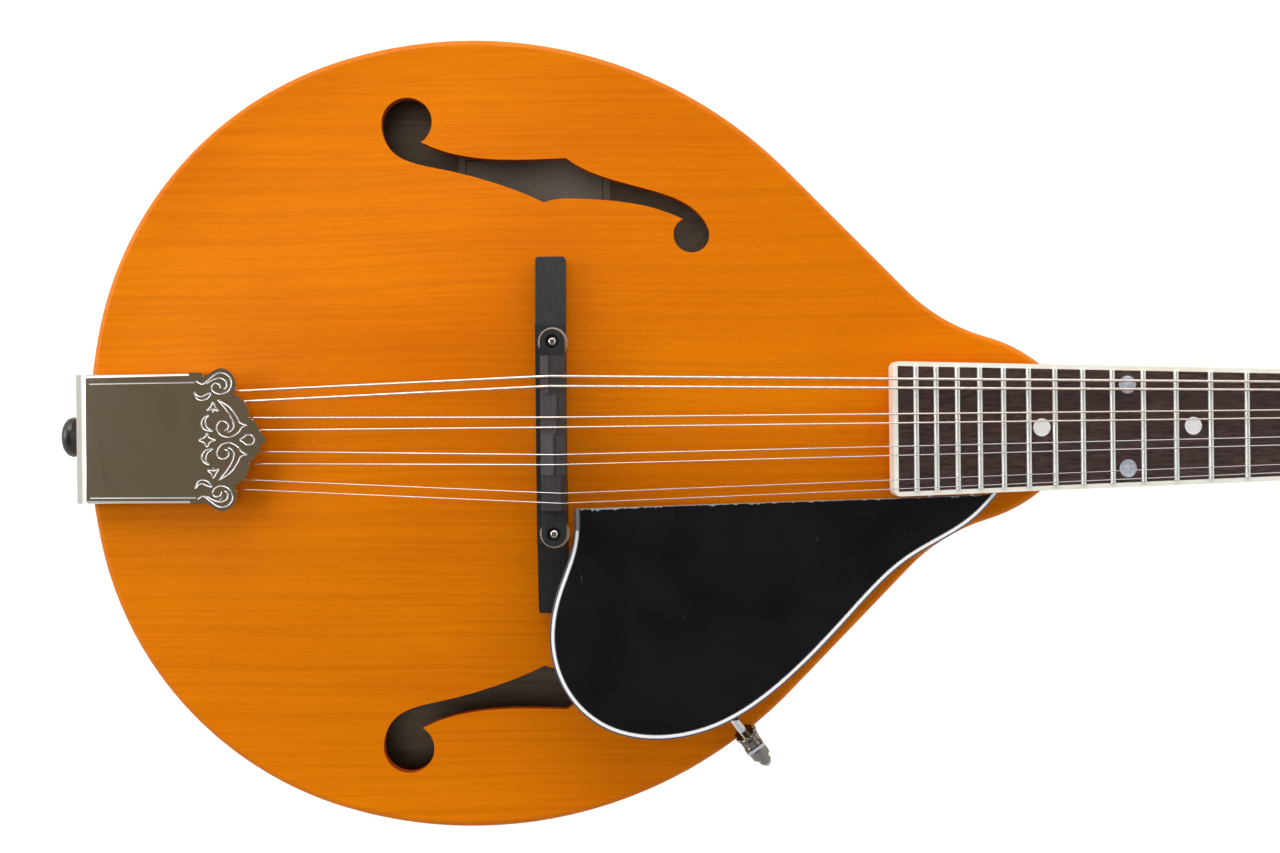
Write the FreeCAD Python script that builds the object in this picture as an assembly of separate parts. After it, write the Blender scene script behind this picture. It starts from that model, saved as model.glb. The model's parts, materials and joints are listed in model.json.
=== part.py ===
"""A-style archtop mandolin, lying on its back, built as separate pieces.

Carved top and back on bent ribs, a neck set in a dovetail, a floating adjustable bridge, a stamped
tailpiece with a slide-off cover, eight strings in four courses, worm-gear tuners in two strips, and a
raised pickguard.

Drawing frame, in millimetres: X runs from the tail of the body towards the headstock on the centreline,
+Y is the bass side, and +Z is up out of the soundboard. Z = 0 is the middle of the rib depth. Every
piece is drawn with X = 0 at the tail, and is moved on export so that the origin is the middle of the
strap button's head.
"""
import FreeCAD
import Part
import math
import os

V = FreeCAD.Vector

# ---------------------------------------------------------------- driving dimensions
BUTTON_TO_TAIL = 13.0      # from the strap button's head to the tail of the body

# Body: the half outline is a chain of tangent arcs from the tail round to the neck.
# Each piece is a radius (negative bends outwards, None is straight) and a sweep in degrees, or a length.
OUTLINE_ARCS = [
    (173.0, 11.8),
    (117.0, 60.9),
    (146.0, 62.9),
    (None, 56.0),
    (-60.5, 29.5),
    (49.0, 25.5),
]
RIM_DEPTH = 47.0           # outside of the top to outside of the back, at the edge
PLATE = 4.2                # thickness of the carved top and back
TOP_ARCH = 13.0
BACK_ARCH = 16.0
EDGE_ROUND = 2.0           # on the outer edges of the top and back
TREBLE_HOLE_SHIFT = V(-1.3, -0.9, 0)   # from the mirror image of the bass soundhole
RIB = 2.0                  # rib thickness
LINING_WIDTH = 5.0
LINING_HEIGHT = 9.0
ARCH_SPREAD = 1.15         # above 1, the middle of the arch is a flatter crown
ARCH_STEP = 11.0           # spacing of the points that shape the arching
NECK_BLOCK_FROM = 268.0
TAIL_BLOCK_TO = 22.0
TAIL_BLOCK_HALF = 30.0
DOVETAIL_ROOT = 8.0        # half widths and length of the neck's tenon
DOVETAIL_TIP = 11.0
DOVETAIL_LENGTH = 16.0
BAR_SPLAY = 5.0            # degrees between each tone bar and the centreline
BAR_Y = 24.0
BAR_HEIGHT = 7.0
BUTTON_PLUG = 3.5          # radius of the strap button's plug in the tail block
LONG = 200.0               # longer than any cut needs

# Neck: the neck frame has X along the fingerboard from the end of the scale, and Z = 0 on the board's face.
SCALE_LENGTH = 352.4
SCALE_END = V(160.0, 0, 49.5)
NECK_PITCH = 6.0           # degrees
FRET_COUNT = 20
BOARD_END = 103.6          # body end of the fingerboard, from the end of the scale
BOARD_THICK = 5.5
BOARD_WIDTH_END = 43.4
BOARD_WIDTH_NUT = 30.6
BINDING = 1.5
FRET_HEIGHT = 1.0
FRET_WIDTH = 1.7
NUT_LENGTH = 4.2
MARKER_RADIUS = 2.9
NECK_DEPTH_NUT = 20.0      # board face to the back of the neck
ROD_DEPTH = 11.5           # truss rod axis below the board's face
ROD_RADIUS = 2.5
ROD_FROM = 170.0
ROD_TO = SCALE_LENGTH + NUT_LENGTH + 8.0
ROD_NUT_RADIUS = 3.2
ROD_NUT_LENGTH = 7.0
HEAD_DROP = 4.4            # the headstock's face starts this far below the fingerboard's

# Headstock: the head frame has X along the headstock from the nut, and Z = 0 on its front face.
HEAD_ANGLE = 9.5
HEAD_LENGTH = 124.0
HEAD_THICK = 14.0
VENEER = 1.5
HEAD_HALF = 30.0
POST_FIRST = 30.0
POST_SPACING = 23.0
POST_Y = 20.0
COVER_THICK = 1.8          # truss rod cover
COVER_SCREWS = [(7.5, 7.0), (7.5, -7.0), (27.5, 0.0)]
BUSH_SLEEVE = 4.2
BUSH_DEPTH = 7.0

# Tuners
GEAR_TEETH = 14
WORM_PITCH = 2.1
WORM_CORE = 1.75
WORM_OUTER = 2.95
GEAR_THICK = 3.6
STRIP_THICK = 1.0
POST_RADIUS = 3.0
RUNNING = 0.05             # radial running clearance
SHAFT_RADIUS = 1.5
STRIP_IN, STRIP_OUT = 11.0, 29.0         # edges of a strip, from the centreline
STRIP_FROM = POST_FIRST - 17.0
STRIP_TO = POST_FIRST + 3 * POST_SPACING + 11.0
SHAFT_PAST_HEAD = 12.0     # how far a worm shaft and its button's foot stand off the headstock's side
BUTTON_OFF = 2.6
LUG_THICK = 1.4
LUG_HALF = 2.9
LUG_Y = [POST_Y - 7.4, POST_Y + 5.4]     # inner faces of the two lugs that carry each worm
POST_TOP = 10.5
POST_WAIST = 2.65
GEAR_END = 2.0             # radius of the post's end inside its gear
WRAP_Z = 5.1
WRAP_TURNS = 3

# Strings, from bass to treble
COURSES = ["g", "d", "a", "e"]
STRING_RADIUS = {"g": 0.50, "d": 0.34, "a": 0.21, "e": 0.15}
SADDLE_D = {"g": -6.6, "d": -4.2, "a": -5.2, "e": -3.2}   # break point on the saddle, in the neck frame
SADDLE_Y = {"g": 17.6, "d": 4.8, "a": -6.8, "e": -18.8}   # middle of each course at the saddle
PAIR_GAP_SADDLE = 3.1
COURSE_GAP_NUT = 7.4
PAIR_GAP_NUT = 2.4
HOOK_Y = [14.2, 10.8, 7.4, 3.0]
BRIDGE_SHIFT = -1.6        # the floating bridge and the tailpiece sit a little to the treble side
TAIL_SHIFT = -1.2
HOOK_X = [10.0, 14.5]      # the hooks stand in two rows
HOOK_Z = 29.6
HOOK_RISE = 0.168          # slope of the strings behind the bridge
ACTION_NUT = 0.4           # string above the fret plane
ACTION_12 = 1.6
LOOP_R = 1.55              # loop of string round its hook
WRAP_PLAY = 0.02

# Bridge
BRIDGE_X = 153.7
SADDLE_AHEAD = 1.0         # the posts and saddle stand a little nearer the neck than the base's middle
BASE_LENGTH = 114.2
BASE_WIDTH = 9.6
BASE_TOP = 43.2
BRIDGE_POST_GAP = 60.2
BRIDGE_POST_R = 1.45
WHEEL_R = 4.7
WHEEL_THICK = 2.2
SADDLE_WIDTH = 7.7
TUNNEL_TOP = 38.6          # ceiling of the gap between the base's two feet
POST_HOLE = 5.5            # depth of the posts' holes in the base
NOTCH_PLAY = 0.03
RIDGE_ENDS = [24.0, 12.2, -0.4, -13.2, -24.4]
WHEEL_LOW = BASE_TOP + 1.3
SADDLE_LOW = WHEEL_LOW + WHEEL_THICK + 0.02
SADDLE_EAR_TOP = SADDLE_LOW + 5.0
POSTS_X = BRIDGE_X + SADDLE_AHEAD

# Tailpiece
COVER_SIDE = {1: 21.6, -1: 20.5}   # the plain sides, bass and treble, from the cover's middle
SHEET = 0.8                # cover sheet metal
BASE_SHEET = 1.1
BUTTON_RADIUS = 6.85
BEND = 3.0                 # outer radius where the base bends down over the tail
APRON_GAP = 0.05
APRON_FOOT = -13.0         # how low the apron reaches
COVER_LOW = 1.7            # underside of the cover's roof above the strings' line
COVER_SKIRT = -4.4
LIP = 1.4                  # skirt's turned-in edge
TRAY_TOP = -2.0
TRAY_END = 22.0
ROOF_END = 32.4            # the plain sides stop here and the ears begin
EAR = [(33.0, 20.0), (36.0, 21.9), (39.0, 22.9), (42.6, 21.0), (43.9, 17.9), (42.9, 14.6)]
LOBES = [((42.9, 14.6), (47.0, 11.6), (48.3, 6.8)), ((48.3, 6.8), (51.0, 4.6), (51.8, 2.2))]
COVER_TIP = 53.9
TAIL_SCREWS = [(9.0, 14.0), (-11.4, 14.0), (0.0, -9.8)]

# Pickguard, drawn in the neck frame
GUARD_TOP = -2.4
GUARD_THICK = 1.6
GUARD_BINDING = 1.6
GUARD_EDGE = [(1.2, -24.1), (0.8, -34.0), (-4.6, -50.8), (-6.9, -65.5), (-2.4, -81.5), (9.0, -93.0),
              (27.5, -97.6), (47.0, -93.8), (66.5, -81.8), (90.8, -58.5), (109.0, -42.0), (130.6, -29.3),
              (138.4, -21.6)]
GUARD_CORNER = (104.0, -22.3)
GUARD_PINS = [116.0, 130.0]
CLAMP_X = 215.6
CLAMP_OUT = V(0.57, -0.82, 0).normalize()
CLAMP_HALF = 3.2
ROD_TILT = 33.0
CLAMP_ROD_RADIUS = 1.4

TOP_Z = RIM_DEPTH / 2
BACK_Z = -RIM_DEPTH / 2
PITCH_RADIUS = GEAR_TEETH * WORM_PITCH / (2 * math.pi)
WORM_TO_POST = PITCH_RADIUS + (WORM_CORE + WORM_OUTER) / 2
NECK = FreeCAD.Placement(SCALE_END, FreeCAD.Rotation(V(0, 1, 0), NECK_PITCH))
HEAD = NECK.multiply(FreeCAD.Placement(V(SCALE_LENGTH + NUT_LENGTH, 0, -HEAD_DROP),
                                       FreeCAD.Rotation(V(0, 1, 0), HEAD_ANGLE)))
STRIP_BACK = -HEAD_THICK - STRIP_THICK
WORM_Z = STRIP_BACK - WORM_OUTER - 0.25
GEAR_TOP = WORM_Z + GEAR_THICK / 2
GEAR_LOW = GEAR_TOP - GEAR_THICK


# ---------------------------------------------------------------- helpers
def box(x0, x1, y0, y1, z0, z1):
    return Part.makeBox(x1 - x0, y1 - y0, z1 - z0, V(x0, y0, z0))


def rod(radius, a, b):
    return Part.makeCylinder(radius, (b - a).Length, a, b - a)


def ring(outer, inner, a, b):
    return rod(outer, a, b).cut(rod(inner, a, b))


def placed(shape, placement):
    moved = shape.copy()
    moved.Placement = placement.multiply(moved.Placement)
    return moved


def joined(shapes):
    solid = shapes[0].multiFuse(shapes[1:])
    return solid.removeSplitter()


def prism(edges, z0, z1):
    wire = Part.Wire(Part.sortEdges(edges)[0])
    face = Part.Face(wire)
    face.translate(V(0, 0, z0))
    return face.extrude(V(0, 0, z1 - z0))


def line(a, b):
    return Part.makeLine(a, b)


def arc3(a, m, b):
    return Part.Arc(a, m, b).toShape()


def spline(points):
    curve = Part.BSplineCurve()
    curve.interpolate(points)
    return curve.toShape()


def polygon(points):
    closed = points + [points[0]]
    return [line(a, b) for a, b in zip(closed, closed[1:])]


def flat(points, z=0.0):
    return [V(x, y, z) for x, y in points]


def mirrored_y(shape):
    return shape.mirror(V(0, 0, 0), V(0, 1, 0))


def face_of(points):
    return Part.Face(Part.Wire(polygon(points)))


def scaled_ball(a, b, c):
    ball = Part.makeSphere(1.0)
    stretch = FreeCAD.Matrix()
    stretch.scale(a, b, c)
    return ball.transformGeometry(stretch)


# ---------------------------------------------------------------- body outline and arching
def outline_walk(offset=0.0):
    """Half outline from tail to neck, moved in by offset: a list of (start, middle, end) per piece."""
    pieces = []
    at, heading = V(0, 0, 0), math.pi / 2
    for radius, amount in OUTLINE_ARCS:
        left = V(-math.sin(heading), math.cos(heading), 0)
        if radius is None:
            along = V(math.cos(heading), math.sin(heading), 0)
            ends = [at + along * (amount * k / 2) for k in range(3)]
            pieces.append([p - left * offset for p in ends])
            at = ends[-1]
            continue
        sweep = math.radians(amount)
        centre = at - left * radius
        turn = -1 if radius > 0 else 1
        ends = []
        for k in range(3):
            a = heading + turn * sweep * k / 2
            out = V(-math.sin(a), math.cos(a), 0)
            ends.append(centre + out * (radius - offset))
        pieces.append(ends)
        heading += turn * sweep
        at = centre + V(-math.sin(heading), math.cos(heading), 0) * radius
    return pieces


def outline_edges(offset=0.0, to_x=None):
    """Closed outline, moved in by offset, and closed straight across at the neck."""
    edges = []
    pieces = outline_walk(offset)
    for side in (1, -1):
        for a, m, b in pieces:
            a, m, b = [V(p.x, side * p.y, 0) for p in (a, m, b)]
            straight = (m - (a + b) * 0.5).Length < 1e-6
            edges.append(line(a, b) if straight else arc3(a, m, b))
    end = pieces[-1][-1]
    if to_x is None or abs(to_x - end.x) < 1e-6:
        edges.append(line(V(end.x, end.y, 0), V(end.x, -end.y, 0)))
    else:
        edges += [line(V(end.x, s * end.y, 0), V(to_x, s * end.y, 0)) for s in (1, -1)]
        edges.append(line(V(to_x, end.y, 0), V(to_x, -end.y, 0)))
    return edges


NECK_END = outline_walk()[-1][-1]
BODY_LENGTH = NECK_END.x


def half_width(x):
    """Half width of the outline at x, from the chain of arcs."""
    at, heading = V(0, 0, 0), math.pi / 2
    for radius, amount in OUTLINE_ARCS:
        left = V(-math.sin(heading), math.cos(heading), 0)
        if radius is None:
            end = at + V(math.cos(heading), math.sin(heading), 0) * amount
            if at.x <= x <= end.x:
                return at.y + (end.y - at.y) * (x - at.x) / (end.x - at.x)
            at = end
            continue
        turn = -1 if radius > 0 else 1
        centre = at - left * radius
        heading += turn * math.radians(amount)
        end = centre + V(-math.sin(heading), math.cos(heading), 0) * radius
        if at.x <= x <= end.x:
            drop = math.sqrt(max(radius * radius - (x - centre.x) ** 2, 0.0))
            return centre.y + math.copysign(drop, radius)
        at = end
    return 0.0


WIDEST = max(half_width(x) for x in range(90, 160))


def arch(x, y):
    """Share of the full arch height at a point of the plan: 0 at the edge, 1 at the middle."""
    inside = (half_width(x) ** 2 - y * y) / WIDEST ** 2 if 0 < x < BODY_LENGTH else 0.0
    from_edge = 1 - math.sqrt(1 - min(max(inside, 0.0), 1.0))
    t = min(from_edge * ARCH_SPREAD, 1.0)
    return t * t * (3 - 2 * t)


def arch_face(base_z, height):
    """A smooth face over the whole plan, at base_z outside the outline and base_z + height at the middle."""
    margin = 14.0
    nx = int((BODY_LENGTH + 2 * margin) / ARCH_STEP)
    ny = int(2 * (WIDEST + margin) / ARCH_STEP)
    grid = []
    for i in range(nx + 1):
        x = -margin + (BODY_LENGTH + 2 * margin) * i / nx
        row = []
        for j in range(ny + 1):
            y = -(WIDEST + margin) + 2 * (WIDEST + margin) * j / ny
            row.append(V(x, y, base_z + height * arch(x, y)))
        grid.append(row)
    surface = Part.BSplineSurface()
    surface.interpolate(grid)
    return surface.toShape()


TOP_FACE = arch_face(TOP_Z, TOP_ARCH)
BACK_FACE = arch_face(BACK_Z, -BACK_ARCH)
ABOVE_TOP = TOP_FACE.extrude(V(0, 0, 60))
BELOW_TOP = TOP_FACE.extrude(V(0, 0, -60)).translated(V(0, 0, -PLATE))


# ---------------------------------------------------------------- body
def f_hole():
    """Plan of the bass f-hole: two round eyes and a stem with a nick on each side."""
    big, small = V(106.3, 102.3, 0), V(199.4, 64.3, 0)
    outer = flat([(112.2, 95.0), (119.2, 92.2), (135.8, 89.5), (158.6, 89.8)])
    outer_2 = flat([(158.6, 89.8), (164.1, 86.3), (186.2, 79.1), (201.9, 71.2), (205.3, 65.5)])
    inner = flat([(98.0, 100.8), (102.6, 91.7), (117.8, 86.4), (139.0, 80.3), (151.2, 75.0)])
    inner_2 = flat([(151.2, 75.0), (153.9, 75.8), (162.5, 76.2), (186.1, 73.4), (197.1, 69.3)])
    stem = [spline(outer), spline(outer_2), line(outer_2[-1], inner_2[-1]),
            spline(inner_2), spline(inner), line(inner[0], outer[0])]
    eyes = [Part.makeCylinder(r, 80, V(c.x, c.y, 0)) for r, c in ((8.3, big), (5.9, small))]
    return prism(stem, 0, 80).multiFuse(eyes)


def rounded_edge(plate, level):
    """Rounds the plate's outer edge where it lies near a level, except straight across at the neck."""
    edges = []
    for edge in plate.Edges:
        middle = edge.valueAt((edge.FirstParameter + edge.LastParameter) / 2)
        if not 0 < middle.x < BODY_LENGTH - 0.01 or abs(middle.z - level) > 0.6:
            continue
        on_outline = abs(abs(middle.y) - half_width(middle.x)) < 0.05
        if on_outline and edge.BoundBox.ZLength < 3:
            edges.append(edge)
    return plate.makeFillet(EDGE_ROUND, edges)


def top_plate():
    slab = TOP_FACE.extrude(V(0, 0, -PLATE))
    plate = slab.common(prism(outline_edges(), -5, 80))
    hole = f_hole()
    treble = mirrored_y(hole).translated(TREBLE_HOLE_SHIFT)
    return rounded_edge(plate.cut([hole, treble, dovetail()]), TOP_Z)


def back_plate():
    slab = BACK_FACE.extrude(V(0, 0, PLATE))
    return rounded_edge(slab.common(prism(outline_edges(), -80, 5)), BACK_Z)


def button_bore():
    return rod(BUTTON_PLUG, V(-5, 0, 0), V(16, 0, 0))


def rib(side):
    low, high = BACK_Z + PLATE, TOP_Z - PLATE
    wall = inner_space(0, low, high).cut(inner_space(RIB, low, high))
    keep = box(-20, BODY_LENGTH - 0.001, 0, LONG, low, high)
    at_neck = box(BODY_LENGTH - RIB - 0.5, BODY_LENGTH + 5, -1, NECK_END.y - RIB, low, high)
    wall = wall.common(keep).cut(at_neck)
    wall = wall if side > 0 else mirrored_y(wall)
    return wall.cut([button_bore()] + tail_screw_bores().Solids)


def inner_space(offset, low, high):
    return prism(outline_edges(offset), low, high)


def dovetail():
    """The neck's tenon in the neck block, wider at its inner end, and open at the top."""
    inner = BODY_LENGTH - DOVETAIL_LENGTH
    plan = flat([(BODY_LENGTH, -DOVETAIL_ROOT), (inner, -DOVETAIL_TIP),
                 (inner, DOVETAIL_TIP), (BODY_LENGTH, DOVETAIL_ROOT)])
    return prism(polygon(plan), -16.0, TOP_Z + 2.0)


def neck_block():
    low, high = BACK_Z + PLATE, TOP_Z - PLATE
    block = inner_space(RIB, low, high).common(box(NECK_BLOCK_FROM, BODY_LENGTH + 5, -60, 60, low, high))
    half = NECK_END.y - RIB
    end_cap = box(BODY_LENGTH - RIB - 0.5, BODY_LENGTH, -half, half, low, high)
    return block.fuse(end_cap).removeSplitter().cut(dovetail())


def tail_block():
    low, high = BACK_Z + PLATE, TOP_Z - PLATE
    limits = box(-5, TAIL_BLOCK_TO, -TAIL_BLOCK_HALF, TAIL_BLOCK_HALF, low, high)
    block = inner_space(RIB, low, high).common(limits)
    return block.cut([button_bore()] + tail_screw_bores().Solids)


def lining(low, high):
    """A strip glued inside the ribs, in two halves between the blocks."""
    strip = inner_space(RIB, low, high).cut(inner_space(RIB + LINING_WIDTH, low, high))
    gap = 0.2
    half = TAIL_BLOCK_HALF + gap
    neck_end = box(NECK_BLOCK_FROM - gap, NECK_BLOCK_FROM + LONG, -LONG, LONG, low, high)
    tail_end = box(-20, TAIL_BLOCK_TO + gap, -half, half, low, high)
    return strip.cut([neck_end, tail_end])


def linings():
    top = lining(TOP_Z - PLATE - LINING_HEIGHT, TOP_Z - PLATE)
    back = lining(BACK_Z + PLATE, BACK_Z + PLATE + LINING_HEIGHT)
    return Part.makeCompound(top.Solids + back.Solids)


def tone_bars():
    """Two braces under the top, splayed towards the tail, fitted to the inside of the arch."""
    bars = []
    for side in (1, -1):
        bar = box(62, 238, -3, 3, 10, 60)
        bar.rotate(V(BRIDGE_X, 0, 0), V(0, 0, 1), -side * BAR_SPLAY)
        bar.translate(V(0, side * BAR_Y, 0))
        fitted = bar.common(BELOW_TOP).cut(BELOW_TOP.translated(V(0, 0, -BAR_HEIGHT)))
        bars.append(fitted.Solids[0])
    return Part.makeCompound(bars)


def label():
    """Paper label glued to the inside of the back, where it shows through the bass f-hole."""
    plan = box(118, 172, 36, 100, -80, 20)
    paper = BACK_FACE.extrude(V(0, 0, 0.25)).translated(V(0, 0, PLATE))
    return paper.common(plan)


# ---------------------------------------------------------------- neck
def fret_x(n):
    return SCALE_LENGTH * 2 ** (-n / 12)


def board_half(d):
    share = (d - BOARD_END) / (SCALE_LENGTH - BOARD_END)
    return (BOARD_WIDTH_END + (BOARD_WIDTH_NUT - BOARD_WIDTH_END) * share) / 2


def board_plan(inset, z0, z1):
    a, b = BOARD_END + inset, SCALE_LENGTH
    wa, wb = board_half(a) - inset, board_half(b) - inset
    return prism(polygon(flat([(a, -wa), (b, -wb), (b, wb), (a, wa)])), z0, z1)


MARKERS = [(3, 0), (5, 0), (7, 0), (10, 0), (12, 1), (12, -1), (15, 0)]


def marker_spots():
    spots = []
    for fret, row in MARKERS:
        d = (fret_x(fret) + fret_x(fret - 1)) / 2
        spots.append((d, row * 13.6))
    return spots


def markers(depth):
    return [rod(MARKER_RADIUS, V(d, y, -depth), V(d, y, 0)) for d, y in marker_spots()]


def fret_slot(n, grow=0.0):
    d = fret_x(n)
    half = board_half(d) - BINDING
    return box(d - 0.28 - grow, d + 0.28 + grow, -half, half, -2.0, 0)


def fingerboard():
    board = board_plan(BINDING, -BOARD_THICK, 0)
    slots = [fret_slot(n) for n in range(1, FRET_COUNT + 1)]
    board = board.cut(slots + markers(1.5))
    return placed(board, NECK)


def fingerboard_binding():
    strip = board_plan(0, -BOARD_THICK, 0).cut(board_plan(BINDING, -BOARD_THICK - 1, 1))
    corner = [e for e in strip.Edges if abs(e.BoundBox.XMax - BOARD_END) < 0.01 and e.BoundBox.ZLength > 5]
    return placed(strip.makeFillet(2.2, corner), NECK).cut(guard_pin_bores())


def frets():
    made = []
    for n in range(1, FRET_COUNT + 1):
        d = fret_x(n)
        half = board_half(d) - BINDING - 0.03
        back, front = V(d - FRET_WIDTH / 2, -half, 0), V(d + FRET_WIDTH / 2, -half, 0)
        end = Part.Wire([arc3(back, V(d, -half, FRET_HEIGHT), front), line(front, back)])
        crown = Part.Face(end).extrude(V(0, 2 * half, 0))
        made.append(crown.fuse(fret_slot(n)).removeSplitter().Solids[0])
    return placed(Part.makeCompound(made), NECK)


def fret_markers():
    return placed(Part.makeCompound(markers(1.5)), NECK)


def slot_box(a, towards, length, half):
    """A slot open at the top, its floor just under a string that runs from a."""
    along = towards - a
    turn = FreeCAD.Rotation(V(0, 0, 1), math.degrees(math.atan2(along.y, along.x)))
    tilt = FreeCAD.Rotation(V(0, 1, 0), -math.degrees(math.atan2(along.z, math.hypot(along.x, along.y))))
    return placed(box(0, length, -half, half, -half, 5), FreeCAD.Placement(a, turn.multiply(tilt)))


def nut():
    half = board_half(SCALE_LENGTH)
    low = -BOARD_THICK
    profile = [V(SCALE_LENGTH, -half, low), V(SCALE_LENGTH, -half, 2.3), V(SCALE_LENGTH + 1.4, -half, 2.3),
               V(SCALE_LENGTH + NUT_LENGTH, -half, 0.4), V(SCALE_LENGTH + NUT_LENGTH, -half, low)]
    blank = face_of(profile).extrude(V(0, 2 * half, 0))
    slots = []
    for course, _, p in string_ends():
        half_slot = STRING_RADIUS[course] + 0.02
        at, saddle, post = [NECK.inverse().multVec(p[key]) for key in ("nut", "saddle", "post")]
        slots += [slot_box(at, saddle, 4.0, half_slot), slot_box(at, post, 8.0, half_slot)]
        slots.append(rod(half_slot + 0.05, at - V(0, 0, half_slot), at + V(0, 0, 5)))
    return placed(blank.cut(slots), NECK)


def d_section(x, half, top, bottom, power):
    """A closed section across the neck: flat on top, and a rounded belly that squares up as power grows."""
    count = 12
    belly = []
    for k in range(count + 1):
        a = math.pi * k / count
        c, s = math.cos(a), math.sin(a)
        y = half * math.copysign(abs(c) ** (2 / power), c)
        z = top - (top - bottom) * abs(s) ** (2 / power)
        belly.append(V(x, y, z))
    return Part.Wire([spline(belly), line(belly[-1], belly[0])])


def neck_shaft():
    """Loft of the neck from the heel to the nut, in the neck frame."""
    joint = (BODY_LENGTH - SCALE_END.x) / math.cos(math.radians(NECK_PITCH))
    heel_low = BACK_Z - SCALE_END.z + joint * math.sin(math.radians(NECK_PITCH))
    # Each section: place along the neck, depth of its belly, and how square it is.
    spots = [(joint - 14, heel_low, 2.3), (joint + 4, heel_low + 3.0, 2.2), (joint + 13, -42.0, 2.1),
             (joint + 24, -28.0, 2.0), (joint + 40, -22.8, 2.0), (joint + 70, -21.8, 2.0),
             (joint + 130, -20.8, 2.0), (SCALE_LENGTH - 14, -NECK_DEPTH_NUT, 2.1),
             (SCALE_LENGTH + NUT_LENGTH, -NECK_DEPTH_NUT, 2.8)]
    sections = []
    for d, low, power in spots:
        half = board_half(min(d, SCALE_LENGTH))
        sections.append(d_section(d, half, -BOARD_THICK, low, power))
    return Part.makeLoft(sections, True, False)


def head_plan(z0, z1):
    """Headstock outline: shoulders flare from the nut, sides run straight, and the end curves shallowly."""
    half_nut, end = BOARD_WIDTH_NUT / 2, HEAD_LENGTH
    edges = []
    for s in (1, -1):
        shoulder = [(0, s * half_nut), (8, s * (half_nut + 1.5)), (15, s * 24.5), (24, s * HEAD_HALF)]
        corner = [(end - 7, s * (HEAD_HALF + 2)), (end - 2.5, s * (HEAD_HALF - 1)), (end - 2, s * 20),
                  (end, s * 9)]
        edges.append(spline(flat(shoulder)))
        edges.append(line(V(24, s * HEAD_HALF, 0), V(end - 7, s * (HEAD_HALF + 2), 0)))
        edges.append(spline(flat(corner)))
    edges.append(spline(flat([(end, 9), (end + 1.5, 4), (end + 2, 0), (end + 1.5, -4), (end, -9)])))
    edges.append(line(V(0, half_nut, 0), V(0, -half_nut, 0)))
    return prism(edges, z0, z1)


def post_spots():
    """Name, X and side of each string post in the head frame."""
    spots = []
    for side, names in ((1, ["g1", "g2", "d1", "d2"]), (-1, ["e2", "e1", "a2", "a1"])):
        for k, name in enumerate(names):
            spots.append((name, POST_FIRST + k * POST_SPACING, side))
    return spots


def rod_pocket():
    """Opening in the headstock that gives a wrench access to the truss rod nut."""
    start = SCALE_LENGTH + NUT_LENGTH + 3
    return placed(box(start, start + 18, -4.5, 4.5, -ROD_DEPTH - 4, 4), NECK)


def neck_riser():
    """Wood between the top and the end of the fingerboard."""
    half, end = board_half(BOARD_END) - 3.0, 160.0
    plan = flat([(BOARD_END + 3, -half), (end, -half + 1.5), (end, half - 1.5), (BOARD_END + 3, half)])
    block = placed(prism(polygon(plan), -30, -BOARD_THICK), NECK)
    return block.common(ABOVE_TOP).common(box(0, BODY_LENGTH, -60, 60, 0, 80))


def post_bores():
    """For each post: a clearance hole through the headstock, and the seat of its bushing."""
    bores = []
    for _, x, side in post_spots():
        top = V(x, side * POST_Y, 5)
        bores.append(placed(rod(POST_RADIUS + 0.4, V(x, side * POST_Y, -20), top), HEAD))
        bores.append(placed(rod(BUSH_SLEEVE, V(x, side * POST_Y, -BUSH_DEPTH), top), HEAD))
    return bores


def neck():
    joint_cut = box(-100, BODY_LENGTH, -60, 60, -100, 60)
    shaft = placed(neck_shaft(), NECK).cut(joint_cut)
    head = placed(head_plan(-HEAD_THICK, -VENEER), HEAD)
    half = board_half(SCALE_LENGTH)
    nut_front = SCALE_LENGTH + NUT_LENGTH
    under_nut = box(SCALE_LENGTH - 30, nut_front, -half, half, -BOARD_THICK - 5, -BOARD_THICK)
    solid = shaft.multiFuse([head, placed(under_nut, NECK), neck_riser(), dovetail()])
    cuts = [rod_pocket(), truss_rod()] + post_bores() + head_screw_bores()
    return solid.cut(cuts).Solids[0]


def headstock_veneer():
    sheet = head_plan(-VENEER, 0)
    past_nut = box(-10, 0.5, -40, 40, -5, 5)
    return placed(sheet.cut(past_nut), HEAD).cut(post_bores() + [rod_pocket()] + cover_screw_bores())


def truss_rod():
    return placed(rod(ROD_RADIUS, V(ROD_FROM, 0, -ROD_DEPTH), V(ROD_TO, 0, -ROD_DEPTH)), NECK)


def truss_rod_nut():
    hexagon = []
    for k in range(6):
        a = k * math.pi / 3
        y, z = ROD_NUT_RADIUS * math.cos(a), ROD_NUT_RADIUS * math.sin(a)
        hexagon.append(V(ROD_TO + 0.1, y, z - ROD_DEPTH))
    return placed(face_of(hexagon).extrude(V(ROD_NUT_LENGTH, 0, 0)), NECK)


def truss_rod_cover():
    """Bell-shaped plate over the truss rod pocket."""
    back, waist, front, half, tip_half = 2.5, 9.5, 27.0, 10.5, 4.0
    plan = [line(V(back, half, 0), V(back, -half, 0))]
    for s in (1, -1):
        plan.append(line(V(back, s * half, 0), V(waist, s * half, 0)))
        plan.append(spline(flat([(waist, s * half), (16, s * 8.0), (22, s * 4.6), (front, s * tip_half)])))
    plan.append(arc3(V(front, tip_half, 0), V(front + tip_half, 0, 0), V(front, -tip_half, 0)))
    return placed(prism(plan, 0, COVER_THICK), HEAD).cut(cover_screw_bores())


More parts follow.
